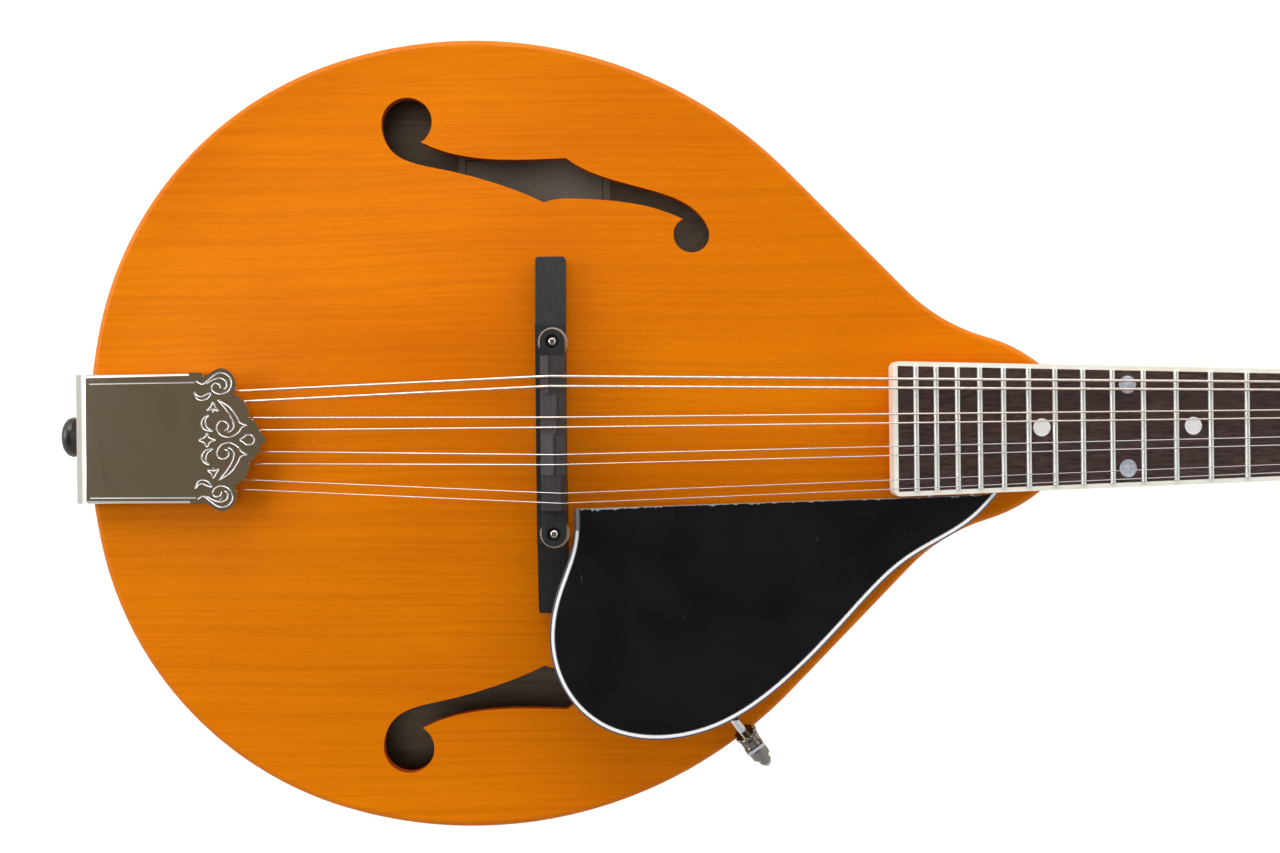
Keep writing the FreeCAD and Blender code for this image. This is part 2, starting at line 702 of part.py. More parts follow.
def wood_screw(radius, head_radius, length, head_height):
    """A round-head screw with its head's underside at Z = 0 and its tip down."""
    head = Part.makeSphere(head_radius * 1.15)
    head = head.common(rod(head_radius, V(0, 0, 0), V(0, 0, head_height)))
    slot = box(-9, 9, -0.3, 0.3, head_height - 0.6, head_height + 1)
    taper = radius * 2
    tip = Part.makeCone(0.2, radius, taper, V(0, 0, -length), V(0, 0, 1))
    return joined([head.cut(slot), rod(radius, V(0, 0, taper - length), V(0, 0, 0)), tip])


def cover_screw_places():
    places = [V(x, y, COVER_THICK) for x, y in COVER_SCREWS]
    return [HEAD.multiply(FreeCAD.Placement(at, FreeCAD.Rotation())) for at in places]


def cover_screw_bores():
    return [placed(rod(1.0, V(0, 0, -8), V(0, 0, 1)), p) for p in cover_screw_places()]


# ---------------------------------------------------------------- tuners
def strip_screw_spots():
    between = [POST_FIRST + POST_SPACING * (k + 0.5) - 1.5 for k in range(3)]
    return [(x, STRIP_OUT - 4.0) for x in [STRIP_FROM + 4.0] + between + [STRIP_TO - 4.0]]


def strip_screw_places(side):
    turn = FreeCAD.Rotation(V(1, 0, 0), 180)
    places = [V(x, side * y, STRIP_BACK) for x, y in strip_screw_spots()]
    return [HEAD.multiply(FreeCAD.Placement(at, turn)) for at in places]


def head_screw_bores():
    bores = cover_screw_bores()
    for side in (1, -1):
        bores += [placed(rod(1.1, V(0, 0, -8), V(0, 0, 1)), p) for p in strip_screw_places(side)]
    return bores


def headstock_screws():
    screws = [placed(wood_screw(1.0, 2.1, 6.5, 1.1), p) for p in cover_screw_places()]
    for side in (1, -1):
        screws += [placed(wood_screw(1.1, 2.3, 7.5, 1.2), p) for p in strip_screw_places(side)]
    return Part.makeCompound([s.Solids[0] for s in screws])


def tuner_plate(side):
    """One strip that carries four tuners, with two bearing lugs for each worm."""
    strip = box(STRIP_FROM, STRIP_TO, STRIP_IN, STRIP_OUT, STRIP_BACK, -HEAD_THICK)
    corners = [e for e in strip.Edges if e.BoundBox.ZLength > 0.5]
    strip = strip.makeFillet(3.0, corners)
    cuts = []
    for k in range(4):
        x = POST_FIRST + k * POST_SPACING
        worm_x = x - WORM_TO_POST
        for y in LUG_Y:
            low, high = WORM_Z - 2.6, -HEAD_THICK - 0.5
            strip = strip.fuse(box(worm_x - LUG_HALF, worm_x + LUG_HALF, y, y + LUG_THICK, low, high))
        cuts.append(rod(SHAFT_RADIUS + RUNNING, V(worm_x, 0, WORM_Z), V(worm_x, 40, WORM_Z)))
        cuts.append(rod(POST_RADIUS + RUNNING, V(x, POST_Y, -30), V(x, POST_Y, 0)))
    for x, y in strip_screw_spots():
        cuts.append(rod(1.15, V(x, y, -30), V(x, y, 0)))
    strip = strip.removeSplitter().cut(cuts)
    if side < 0:
        strip = mirrored_y(strip)
    return placed(strip, HEAD)


def post_bushings():
    made = []
    for _, x, s in post_spots():
        y = s * POST_Y
        flange = Part.makeCone(5.4, 4.7, 1.3, V(x, y, 0), V(0, 0, 1))
        bush = joined([flange, rod(BUSH_SLEEVE, V(x, y, -BUSH_DEPTH), V(x, y, 0))])
        made.append(bush.cut(rod(POST_RADIUS + RUNNING, V(x, y, -BUSH_DEPTH - 1), V(x, y, 3))).Solids[0])
    return placed(Part.makeCompound(made), HEAD)


def gear():
    """Tuner gear about Z, with a tooth space facing the worm at -X."""
    root, tip = PITCH_RADIUS - 0.95, PITCH_RADIUS + 0.45
    step = 360 / GEAR_TEETH
    flank = [(root - 0.3, 0.62), (PITCH_RADIUS, 0.38), (tip, 0.24)]
    plan = [V(r, -h, GEAR_LOW) for r, h in flank] + [V(r, h, GEAR_LOW) for r, h in reversed(flank)]
    teeth = []
    for k in range(GEAR_TEETH):
        tooth = face_of(plan).extrude(V(0, 0, GEAR_THICK))
        tooth.rotate(V(0, 0, 0), V(0, 0, 1), 180 + step * (k + 0.5))
        teeth.append(tooth)
    return joined([rod(root, V(0, 0, GEAR_LOW), V(0, 0, GEAR_TOP))] + teeth)


def tuner_post(x, side, radius):
    """String post with its gear and gear screw, and the string's turns round it."""
    bevel, bore, hole_z = 0.8, 0.9, WRAP_Z + 2.6
    post = rod(POST_RADIUS, V(0, 0, GEAR_TOP), V(0, 0, POST_TOP - bevel))
    crown = Part.makeCone(POST_RADIUS, POST_RADIUS - bevel, bevel, V(0, 0, POST_TOP - bevel), V(0, 0, 1))
    end = rod(GEAR_END, V(0, 0, GEAR_LOW), V(0, 0, GEAR_TOP))
    waist = ring(POST_RADIUS + 1, POST_WAIST, V(0, 0, 1.5), V(0, 0, WRAP_Z + 1.4))
    string_hole = rod(bore, V(-5, 0, hole_z), V(5, 0, hole_z))
    screw_hole = rod(bore, V(0, 0, GEAR_LOW), V(0, 0, GEAR_LOW + 5))
    post = joined([post, crown, end]).cut([waist, string_hole, screw_hole])
    wheel = gear().cut(rod(GEAR_END, V(0, 0, GEAR_LOW - 1), V(0, 0, GEAR_TOP + 1)))
    upside_down = FreeCAD.Placement(V(0, 0, GEAR_LOW), FreeCAD.Rotation(V(1, 0, 0), 180))
    screw = placed(wood_screw(bore, 2.4, 5.0, 0.9), upside_down)
    turns = []
    for k in range(WRAP_TURNS):
        z = WRAP_Z - 0.12 - (2 * radius + 0.03) * (k + 1)
        turns.append(Part.makeTorus(POST_WAIST + radius + WRAP_PLAY, radius, V(0, 0, z)))
    pieces = [piece.Solids[0] for piece in [post, wheel, screw] + turns]
    at = FreeCAD.Placement(V(x, side * POST_Y, 0), FreeCAD.Rotation())
    return placed(Part.makeCompound(pieces), HEAD.multiply(at))


def worm_shaft(facing):
    """Worm along +Y from the centre of its thread, with a ridge towards the gear, which is at +X or -X."""
    inner = LUG_Y[0] - POST_Y - 0.6
    outer = HEAD_HALF + SHAFT_PAST_HEAD - POST_Y
    core_from, core_to = LUG_Y[0] + LUG_THICK + 0.15 - POST_Y, LUG_Y[1] - 0.15 - POST_Y
    shaft = rod(SHAFT_RADIUS, V(0, inner, 0), V(0, outer, 0))
    core = rod(WORM_CORE, V(0, core_from, 0), V(0, core_to, 0))
    collar = rod(2.2, V(0, LUG_Y[1] + LUG_THICK + 0.1 - POST_Y, 0), V(0, HEAD_HALF + BUTTON_OFF - POST_Y, 0))
    turns = 3.5
    length = WORM_PITCH * turns
    helix = Part.makeHelix(WORM_PITCH, length, WORM_CORE)
    base, crest, root = 0.36, 0.22, WORM_CORE - 0.25
    profile = [V(root, 0, -base), V(WORM_OUTER, 0, -crest), V(WORM_OUTER, 0, crest), V(root, 0, base)]
    thread = Part.Wire(helix).makePipeShell([Part.Wire(polygon(profile))], True, True)
    thread.translate(V(0, 0, -length / 2))
    thread.rotate(V(0, 0, 0), V(0, 0, 1), -180 * turns + (0 if facing > 0 else 180))
    thread.rotate(V(0, 0, 0), V(1, 0, 0), -90)
    return joined([shaft, core, collar, thread])


def tuner_button():
    """Flattened oval button, its stem towards the headstock."""
    stem = rod(3.2, V(0, 0, 0), V(0, 2.5, 0))
    body = scaled_ball(7.6, 6.0, 3.7).translated(V(0, 7.4, 0))
    bore = rod(SHAFT_RADIUS, V(0, -1, 0), V(0, SHAFT_PAST_HEAD - BUTTON_OFF, 0))
    return stem.fuse(body).cut(bore).Solids[0]


def tuner_frames():
    """For each tuner: name, worm placement (+Y points away from the centreline), and button placement."""
    frames = []
    for name, x, side in post_spots():
        turn = FreeCAD.Rotation(V(0, 0, 1), 0 if side > 0 else 180)
        at = V(x - WORM_TO_POST, side * POST_Y, WORM_Z)
        worm = HEAD.multiply(FreeCAD.Placement(at, turn))
        out = V(x - WORM_TO_POST, side * (HEAD_HALF + BUTTON_OFF), WORM_Z)
        button = HEAD.multiply(FreeCAD.Placement(out, turn))
        frames.append((name, worm, button))
    return frames


# ---------------------------------------------------------------- strings
def string_ends():
    """For each string: course, number, and its four points from the tail to its post."""
    ends = []
    drop_nut = FRET_HEIGHT + ACTION_NUT
    rise = 2 * (ACTION_12 - ACTION_NUT)
    posts = {name: (x, side) for name, x, side in post_spots()}
    for i, course in enumerate(COURSES):
        for j in (0, 1):
            radius = STRING_RADIUS[course]
            y_saddle = SADDLE_Y[course] + PAIR_GAP_SADDLE * (0.5 - j) + BRIDGE_SHIFT
            y_nut = COURSE_GAP_NUT * (1.5 - i) + PAIR_GAP_NUT * (0.5 - j)
            order = 2 * i + j
            y_hook = (HOOK_Y + [-y for y in reversed(HOOK_Y)])[order] + TAIL_SHIFT
            x_hook = HOOK_X[order % 2]
            d = SADDLE_D[course]
            height = FRET_HEIGHT + ACTION_NUT + rise * (1 - d / SCALE_LENGTH) + radius
            name = f"{course}{j + 1}"
            x, side = posts[name]
            wrap_y = side * (POST_Y - POST_WAIST - radius - WRAP_PLAY)
            ends.append((course, name, {
                "tail": V(x_hook, y_hook, HOOK_Z + (x_hook - HOOK_X[0]) * HOOK_RISE),
                "saddle": NECK.multVec(V(d, y_saddle, height)),
                "nut": NECK.multVec(V(SCALE_LENGTH + 0.6, y_nut, drop_nut + radius)),
                "post": HEAD.multVec(V(x, wrap_y, WRAP_Z)),
            }))
    return ends


def string_pair(course):
    pair = []
    for name, _, p in string_ends():
        if name != course:
            continue
        radius = STRING_RADIUS[course]
        path = [p["tail"], p["saddle"], p["nut"], p["post"]]
        pieces = [rod(radius, a, b) for a, b in zip(path, path[1:])]
        pieces += [Part.makeSphere(radius, q) for q in path[1:3]]
        up, along = tail_directions()
        pieces.append(Part.makeTorus(LOOP_R, radius, p["tail"] - along * LOOP_R, up))
        pair.append(pieces[0].multiFuse(pieces[1:]).Solids[0])
    return Part.makeCompound(pair)


# ---------------------------------------------------------------- bridge
def bridge_base():
    """Two-footed base, its feet fitted to the arch, with a raised flat between and just beyond the posts."""
    half, x0 = BASE_LENGTH / 2, BRIDGE_X - BASE_WIDTH / 2
    flat_half = BRIDGE_POST_GAP / 2 + 4.8
    tip, step = BASE_TOP - 5.4, BASE_TOP - 1.6
    shoulder = [V(x0, half, tip), V(x0, flat_half + 0.6, step), V(x0, flat_half, BASE_TOP)]
    side = [V(x0, -half, 20), V(x0, half, 20)] + shoulder + [V(x0, -p.y, p.z) for p in reversed(shoulder)]
    solid = face_of(side).extrude(V(BASE_WIDTH, 0, 0))
    upright = [e for e in solid.Edges if e.BoundBox.ZLength > 10 and abs(abs(e.CenterOfMass.y) - half) < 0.1]
    solid = solid.makeFillet(1.0, upright)
    arched = [V(x0, -21, 0), V(x0, -14, TUNNEL_TOP), V(x0, 14, TUNNEL_TOP), V(x0, 21, 0)]
    solid = solid.cut(face_of(arched).extrude(V(BASE_WIDTH, 0, 0)))
    solid.translate(V(0, BRIDGE_SHIFT + 0.9, 0))
    holes = [rod(BRIDGE_POST_R, V(POSTS_X, y, BASE_TOP - POST_HOLE), V(POSTS_X, y, 60)) for y in post_ys()]
    return solid.common(ABOVE_TOP).cut(holes).Solids[0]


def post_ys():
    return [BRIDGE_SHIFT + s * BRIDGE_POST_GAP / 2 for s in (1, -1)]


def bridge_posts():
    low, high = BASE_TOP - POST_HOLE, SADDLE_EAR_TOP - 0.3
    ends = [(V(POSTS_X, y, low), V(POSTS_X, y, high)) for y in post_ys()]
    return Part.makeCompound([rod(BRIDGE_POST_R, a, b) for a, b in ends])


def thumbwheel(y):
    x, count = POSTS_X, 28
    disc = ring(WHEEL_R, BRIDGE_POST_R + RUNNING, V(x, y, WHEEL_LOW), V(x, y, WHEEL_LOW + WHEEL_THICK))
    knurls = []
    for k in range(count):
        a = 2 * math.pi * k / count
        at = V(x + WHEEL_R * math.cos(a), y + WHEEL_R * math.sin(a), WHEEL_LOW - 1)
        knurls.append(Part.makeCylinder(0.22, WHEEL_THICK + 2, at))
    return disc.cut(knurls).Solids[0]


def bridge_saddle():
    """Adjustable saddle: round drilled ears, and four stepped ridges that set each course's length."""
    x = POSTS_X
    back, front = x - SADDLE_WIDTH / 2, x + SADDLE_WIDTH / 2
    ears = [rod(SADDLE_WIDTH / 2, V(x, y, SADDLE_LOW), V(x, y, SADDLE_EAR_TOP)) for y in post_ys()]
    web = box(back, front, post_ys()[1], post_ys()[0], SADDLE_LOW, SADDLE_EAR_TOP)
    ridges = []
    for i, course in enumerate(COURSES):
        crown = [p for name, _, p in string_ends() if name == course][0]["saddle"]
        top = crown.z - 0.4 * STRING_RADIUS[course]
        foot, eave = SADDLE_EAR_TOP - 1, SADDLE_EAR_TOP + 0.2
        y0, y1 = RIDGE_ENDS[i + 1], RIDGE_ENDS[i]
        shoulder = top - 0.12
        profile = [V(back, y0, foot), V(back, y0, eave), V(crown.x - 0.5, y0, shoulder), V(crown.x, y0, top)]
        profile += [V(crown.x + 0.5, y0, shoulder), V(front, y0, eave), V(front, y0, foot)]
        ridges.append(face_of(profile).extrude(V(0, y1 - y0, 0)))
    solid = joined([web] + ears + ridges)
    cuts = [rod(BRIDGE_POST_R + 0.1, V(x, y, 30), V(x, y, 70)) for y in post_ys()]
    cuts += [rod(BRIDGE_POST_R + 0.75, V(x, y, SADDLE_EAR_TOP - 1.2), V(x, y, 70)) for y in post_ys()]
    for course, _, p in string_ends():
        near = p["saddle"]
        for end in (p["tail"], p["nut"]):
            cuts.append(rod(STRING_RADIUS[course] + NOTCH_PLAY, near, near + (end - near).normalize() * 12))
        cuts.append(Part.makeSphere(STRING_RADIUS[course] + NOTCH_PLAY, near))
    return solid.cut(cuts).Solids[0]


# ---------------------------------------------------------------- tailpiece
def string_slope():
    """Mean rise of the strings from the hooks to the saddle, in degrees."""
    spans = [p["saddle"] - p["tail"] for _, _, p in string_ends()]
    rises = [math.atan2(span.z, span.x) for span in spans]
    return math.degrees(sum(rises) / len(rises))


TAIL_SLOPE = string_slope()
# The tail frame has X along the slope of the strings and Z = 0 on the strings' line.
TAIL = FreeCAD.Placement(V(HOOK_X[0], TAIL_SHIFT, HOOK_Z), FreeCAD.Rotation(V(0, 1, 0), -TAIL_SLOPE))


def bend_centre():
    """Centre of the base's bend over the tail, in the body's XZ plane, tangent to the apron and the tray."""
    slope = math.radians(TAIL_SLOPE)
    x = -APRON_GAP - BASE_SHEET + BEND
    drop = (x - HOOK_X[0]) * math.sin(slope)
    z = HOOK_Z + (TRAY_TOP - BEND + drop) / math.cos(slope)
    return V(x, 0, z)


COVER_TAIL = (bend_centre().x + 0.4 - HOOK_X[0]) / math.cos(math.radians(TAIL_SLOPE))


def cover_plan(z0, z1):
    """Plan of the cover's roof: plain sides, a scrolled ear each side, and a scalloped point."""
    edges = []
    for s in (1, -1):
        tail, end = [V(x, s * COVER_SIDE[s], 0) for x in (COVER_TAIL, ROOF_END)]
        edges += [line(tail, end), line(end, V(EAR[0][0], s * EAR[0][1], 0))]
        edges.append(spline(flat([(x, s * y) for x, y in EAR])))
        edges += [arc3(*flat([(x, s * y) for x, y in lobe])) for lobe in LOBES]
    lobe_end = LOBES[-1][-1]
    tip = [lobe_end, (COVER_TIP - 0.9, 1.3), (COVER_TIP, 0.0)]
    edges.append(spline(flat(tip + [(x, -y) for x, y in reversed(tip[:2])])))
    edges.append(line(V(COVER_TAIL, COVER_SIDE[1], 0), V(COVER_TAIL, -COVER_SIDE[-1], 0)))
    return prism(edges, z0, z1)


def tailpiece_cover():
    """Stamped cover: a roof, and two skirts whose turned-in lips run under the tray."""
    top, corner = COVER_LOW + SHEET, 1.2
    bass, treble = COVER_SIDE[1], -COVER_SIDE[-1]
    outer = box(COVER_TAIL, ROOF_END, treble, bass, COVER_SKIRT, top)
    upper_edges = [e for e in outer.Edges if e.BoundBox.XLength > 20 and e.BoundBox.ZMin > COVER_LOW]
    outer = outer.makeFillet(corner, upper_edges)
    inner = box(COVER_TAIL - 1, 40, treble + SHEET, bass - SHEET, COVER_SKIRT + SHEET, COVER_LOW)
    lip_edge = SHEET + LIP
    slot = box(COVER_TAIL - 1, 40, treble + lip_edge, bass - lip_edge, COVER_SKIRT - 1, COVER_LOW)
    shell = outer.cut(inner).cut(slot)
    roof_end = cover_plan(COVER_LOW, top).common(box(28, 60, -40, 40, -10, 10))
    return placed(joined([shell, roof_end]), TAIL).Solids[0]


def tail_directions():
    """Unit vectors out of the tray and along it."""
    return TAIL.Rotation.multVec(V(0, 0, 1)), TAIL.Rotation.multVec(V(1, 0, 0))


def bent_sheet():
    """The base's metal before trimming: a tray, a bend over the tail, and an apron, all at full width."""
    up, along = tail_directions()
    centre = bend_centre()
    middle = (up + V(-1, 0, 0)).normalize()
    ways = (V(-1, 0, 0), middle, up)
    outer, inner = [[centre + way * r for way in ways] for r in (BEND, BEND - BASE_SHEET)]
    reach, foot = along * (TRAY_END - COVER_TAIL), V(0, 0, APRON_FOOT - centre.z)
    straight = [outer[2], outer[2] + reach, inner[2] + reach, inner[2]]
    hanging = [inner[0], inner[0] + foot, outer[0] + foot, outer[0]]
    section = [arc3(*outer), arc3(*reversed(inner))]
    section += [line(a, b) for chain in (straight, hanging) for a, b in zip(chain, chain[1:])]
    face = Part.Face(Part.Wire(Part.sortEdges(section)[0]))
    face.translate(V(0, TAIL_SHIFT - COVER_SIDE[-1], 0))
    return face.extrude(V(0, COVER_SIDE[1] + COVER_SIDE[-1], 0))


def base_trims():
    """Strips off the tray's sides, and wedges that taper the apron."""
    far, trims = 40.0, []
    for s in (1, -1):
        clear = COVER_SIDE[s] - SHEET - 0.4
        y0, y1 = sorted([s * clear, s * far])
        trims.append(placed(box(COVER_TAIL - 0.6, 60, y0, y1, -9, 6), TAIL))
        wedge = [(COVER_SIDE[s], 25.0), (9.0, APRON_FOOT), (far, APRON_FOOT), (far, 25.0)]
        trims.append(face_of([V(-5, s * y + TAIL_SHIFT, z) for y, z in wedge]).extrude(V(8, 0, 0)))
    return trims


def tailpiece_base():
    """Base: a sloping tray with string hooks, bent down over the tail into an apron that is screwed on."""
    up, along = tail_directions()
    hooks = []
    for _, _, p in string_ends():
        at = p["tail"] - along * LOOP_R
        hooks.append(rod(0.95, at + up * (TRAY_TOP - 0.5), at + up * (COVER_LOW - 0.5)))
    solid = joined([bent_sheet()] + hooks)
    cuts = base_trims() + [rod(BUTTON_PLUG + 0.05, V(-5, 0, 0), V(5, 0, 0)), tail_screw_bores(1.25)]
    return solid.cut(cuts).cut(prism(outline_edges(), -60, TOP_Z)).Solids[0]


def tail_screw_bores(radius=1.2):
    return Part.makeCompound([rod(radius, V(-5, y, z), V(11, y, z)) for y, z in TAIL_SCREWS])


def tailpiece_screws():
    turn = FreeCAD.Rotation(V(0, 1, 0), -90)
    made = []
    for y, z in TAIL_SCREWS:
        screw = wood_screw(1.2, 2.6, 11.0, 1.3)
        made.append(placed(screw, FreeCAD.Placement(V(-APRON_GAP - BASE_SHEET, y, z), turn)).Solids[0])
    return Part.makeCompound(made)


def strap_button():
    """Turned end button: a collar, a waist and a domed head, on a plug in the tail block."""
    seat, half_head = -APRON_GAP - BASE_SHEET, 2.2
    front, back = half_head - BUTTON_TO_TAIL, -half_head - BUTTON_TO_TAIL
    inside, collar = 15.5, 6.0
    plug = [V(inside, 0, 0), V(inside, 0, BUTTON_PLUG), V(seat, 0, BUTTON_PLUG)]
    plug += [V(seat, 0, collar), V(-2.6, 0, collar)]
    rim = [V(-10.0, 0, 5.8), V(front, 0, BUTTON_RADIUS), V(back, 0, BUTTON_RADIUS)]
    tip = [V(-16.7, 0, 1.5), V(-16.7, 0, 0), V(inside, 0, 0)]
    edges = [line(a, b) for chain in (plug, rim, tip) for a, b in zip(chain, chain[1:])]
    edges.append(arc3(plug[-1], V(-6.2, 0, 4.2), rim[0]))
    edges.append(arc3(rim[-1], V(-16.2, 0, 4.8), tip[0]))
    face = Part.Face(Part.Wire(Part.sortEdges(edges)[0]))
    return face.revolve(V(0, 0, 0), V(1, 0, 0), 360)


# ---------------------------------------------------------------- pickguard
def guard_curve(inset):
    """The pickguard's bound edge, moved in by inset."""
    curve = Part.BSplineCurve()
    curve.interpolate(flat(GUARD_EDGE))
    if inset == 0:
        return curve.toShape()
    moved = []
    for x, y in GUARD_EDGE:
        at = curve.parameter(V(x, y, 0))
        along = curve.tangent(at)[0]
        moved.append(V(x, y, 0) + V(-along.y, along.x, 0) * inset)
    moved[0].y, moved[-1].y = GUARD_EDGE[0][1], GUARD_EDGE[-1][1]
    return spline(moved)


def guard_solid(inset):
    edge = guard_curve(inset)
    a, b = edge.Vertexes[0].Point, edge.Vertexes[-1].Point
    corner = V(*GUARD_CORNER, 0)
    return prism([edge, line(a, corner), line(corner, b)], GUARD_TOP - GUARD_THICK, GUARD_TOP)


def pickguard():
    plate = guard_solid(GUARD_BINDING)
    return placed(plate, NECK).cut(guard_pin_bores())


def pickguard_binding():
    strip = guard_solid(0).cut(guard_solid(GUARD_BINDING))
    return placed(max(strip.Solids, key=lambda s: s.Volume), NECK)


def guard_pin_bores():
    """The pins' own places, from inside the fingerboard's binding out into the guard."""
    z = GUARD_TOP - GUARD_THICK / 2
    bores = []
    for d in GUARD_PINS:
        edge = -board_half(d)
        bores.append(placed(rod(0.5, V(d, edge + 1.0, z), V(d, edge - 5.0, z)), NECK))
    return bores


def pickguard_pins():
    return Part.makeCompound(guard_pin_bores())


def upright_frame():
    """Frame at the rim under the clamp, with X outwards and Z up."""
    level = FreeCAD.Rotation(V(0, 0, 1), math.degrees(math.atan2(CLAMP_OUT.y, CLAMP_OUT.x)))
    return FreeCAD.Placement(V(CLAMP_X, -half_width(CLAMP_X), 0), level)


def clamp_frame():
    """Frame of the clamp rod: X outwards and down along the rod, from a point just outside the rim."""
    tilt = FreeCAD.Rotation(V(0, 1, 0), ROD_TILT)
    return upright_frame().multiply(FreeCAD.Placement(V(3.4, 0, TOP_Z + 2.6), tilt))


def guard_block():
    """Block under the pickguard that holds the clamp rod."""
    frame, half = clamp_frame(), 4.5
    at = NECK.inverse().multVec(frame.multVec(V(-21.0, 0, 0)))
    block = box(at.x - half, at.x + half, at.y - half, at.y + half, at.z - 3.0, GUARD_TOP - GUARD_THICK)
    return placed(block, NECK).cut(placed(rod(CLAMP_ROD_RADIUS, V(-40, 0, 0), V(5, 0, 0)), frame))


def clamp_rod():
    return placed(rod(CLAMP_ROD_RADIUS, V(-23.0, 0, 0), V(11.4, 0, 0)), clamp_frame())


def rim_clamp():
    """Plate that hooks under the back, runs up the rib, and carries the rod in its ear."""
    half, low = CLAMP_HALF, BACK_Z - 1.6
    ear = placed(box(0.0, 1.3, -half, half, -5.2, 3.0), clamp_frame())
    strap = placed(box(1.9, 3.2, -half, half, low, TOP_Z - 1.4), upright_frame())
    hook = placed(box(-4.5, 3.2, -half, half, low, low + 1.2), upright_frame())
    bore = placed(rod(CLAMP_ROD_RADIUS + RUNNING, V(-5, 0, 0), V(5, 0, 0)), clamp_frame())
    return joined([ear, strap, hook]).cut(bore).Solids[0]


def clamp_pad():
    """Cork pad between the clamp's strap and the rib."""
    half = CLAMP_HALF + 0.2
    return placed(box(0.45, 1.9, -half, half, 8.0, TOP_Z - 6.0), upright_frame())


def clamp_nut():
    """Fluted barrel nut that pulls the rod through the clamp's ear."""
    body, count, radius = rod(3.1, V(1.35, 0, 0), V(7.4, 0, 0)), 12, 3.2
    flutes = []
    for k in range(count):
        a = 2 * math.pi * k / count
        y, z = radius * math.cos(a), radius * math.sin(a)
        flutes.append(rod(0.4, V(2.2, y, z), V(6.6, y, z)))
    body = body.cut(flutes).cut(rod(CLAMP_ROD_RADIUS + RUNNING, V(0, 0, 0), V(9, 0, 0)))
    return placed(body.Solids[0], clamp_frame())


# ---------------------------------------------------------------- the whole instrument
def nodes():
    made = {
        "top_plate": top_plate(),
        "back_plate": back_plate(),
        "rib_bass": rib(1),
        "rib_treble": rib(-1),
        "neck_block": neck_block(),
        "tail_block": tail_block(),
        "linings": linings(),
        "tone_bars": tone_bars(),
        "label": label(),
        "neck": neck(),
        "headstock_veneer": headstock_veneer(),
        "truss_rod": truss_rod(),
        "truss_rod_nut": truss_rod_nut(),
        "truss_rod_cover": truss_rod_cover(),
        "headstock_screws": headstock_screws(),
        "fingerboard": fingerboard(),
        "fingerboard_binding": fingerboard_binding(),
        "frets": frets(),
        "fret_markers": fret_markers(),
        "nut": nut(),
        "tuner_plate_bass": tuner_plate(1),
        "tuner_plate_treble": tuner_plate(-1),
        "post_bushings": post_bushings(),
        "bridge_base": bridge_base(),
        "bridge_posts": bridge_posts(),
        "bridge_saddle": bridge_saddle(),
        "thumbwheel_bass": thumbwheel(post_ys()[0]),
        "thumbwheel_treble": thumbwheel(post_ys()[1]),
        "tailpiece_base": tailpiece_base(),
        "tailpiece_cover": tailpiece_cover(),
        "tailpiece_screws": tailpiece_screws(),
        "strap_button": strap_button(),
        "pickguard": pickguard(),
        "pickguard_binding": pickguard_binding(),
        "pickguard_pins": pickguard_pins(),
        "clamp_rod": clamp_rod(),
        "rim_clamp": rim_clamp(),
        "clamp_nut": clamp_nut(),
        "clamp_pad": clamp_pad(),
        "pickguard_block": guard_block(),
    }
    for course in COURSES:
        made[f"strings_{course}"] = string_pair(course)
    worms = {side: worm_shaft(side) for side in (1, -1)}
    button = tuner_button()
    for (name, x, side), (_, worm_place, button_place) in zip(post_spots(), tuner_frames()):
        made[f"post_{name}"] = tuner_post(x, side, STRING_RADIUS[name[0]])
        pieces = [placed(worms[side], worm_place).Solids[0], placed(button, button_place).Solids[0]]
        made[f"tuner_key_{name}"] = Part.makeCompound(pieces)
    return made


def main():
    os.makedirs("parts", exist_ok=True)
    for name, shape in nodes().items():
        shape = shape.translated(V(BUTTON_TO_TAIL, 0, 0))
        if not shape.isValid():
            print("not valid:", name)
        shape.exportStep(f"parts/{name}.step")
        print(f"{name:22s} solids {len(shape.Solids):3d} volume {shape.Volume:10.1f}")


main()
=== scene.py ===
import json
import math

import bmesh
import bpy
import numpy as np
from mathutils import Matrix, Vector


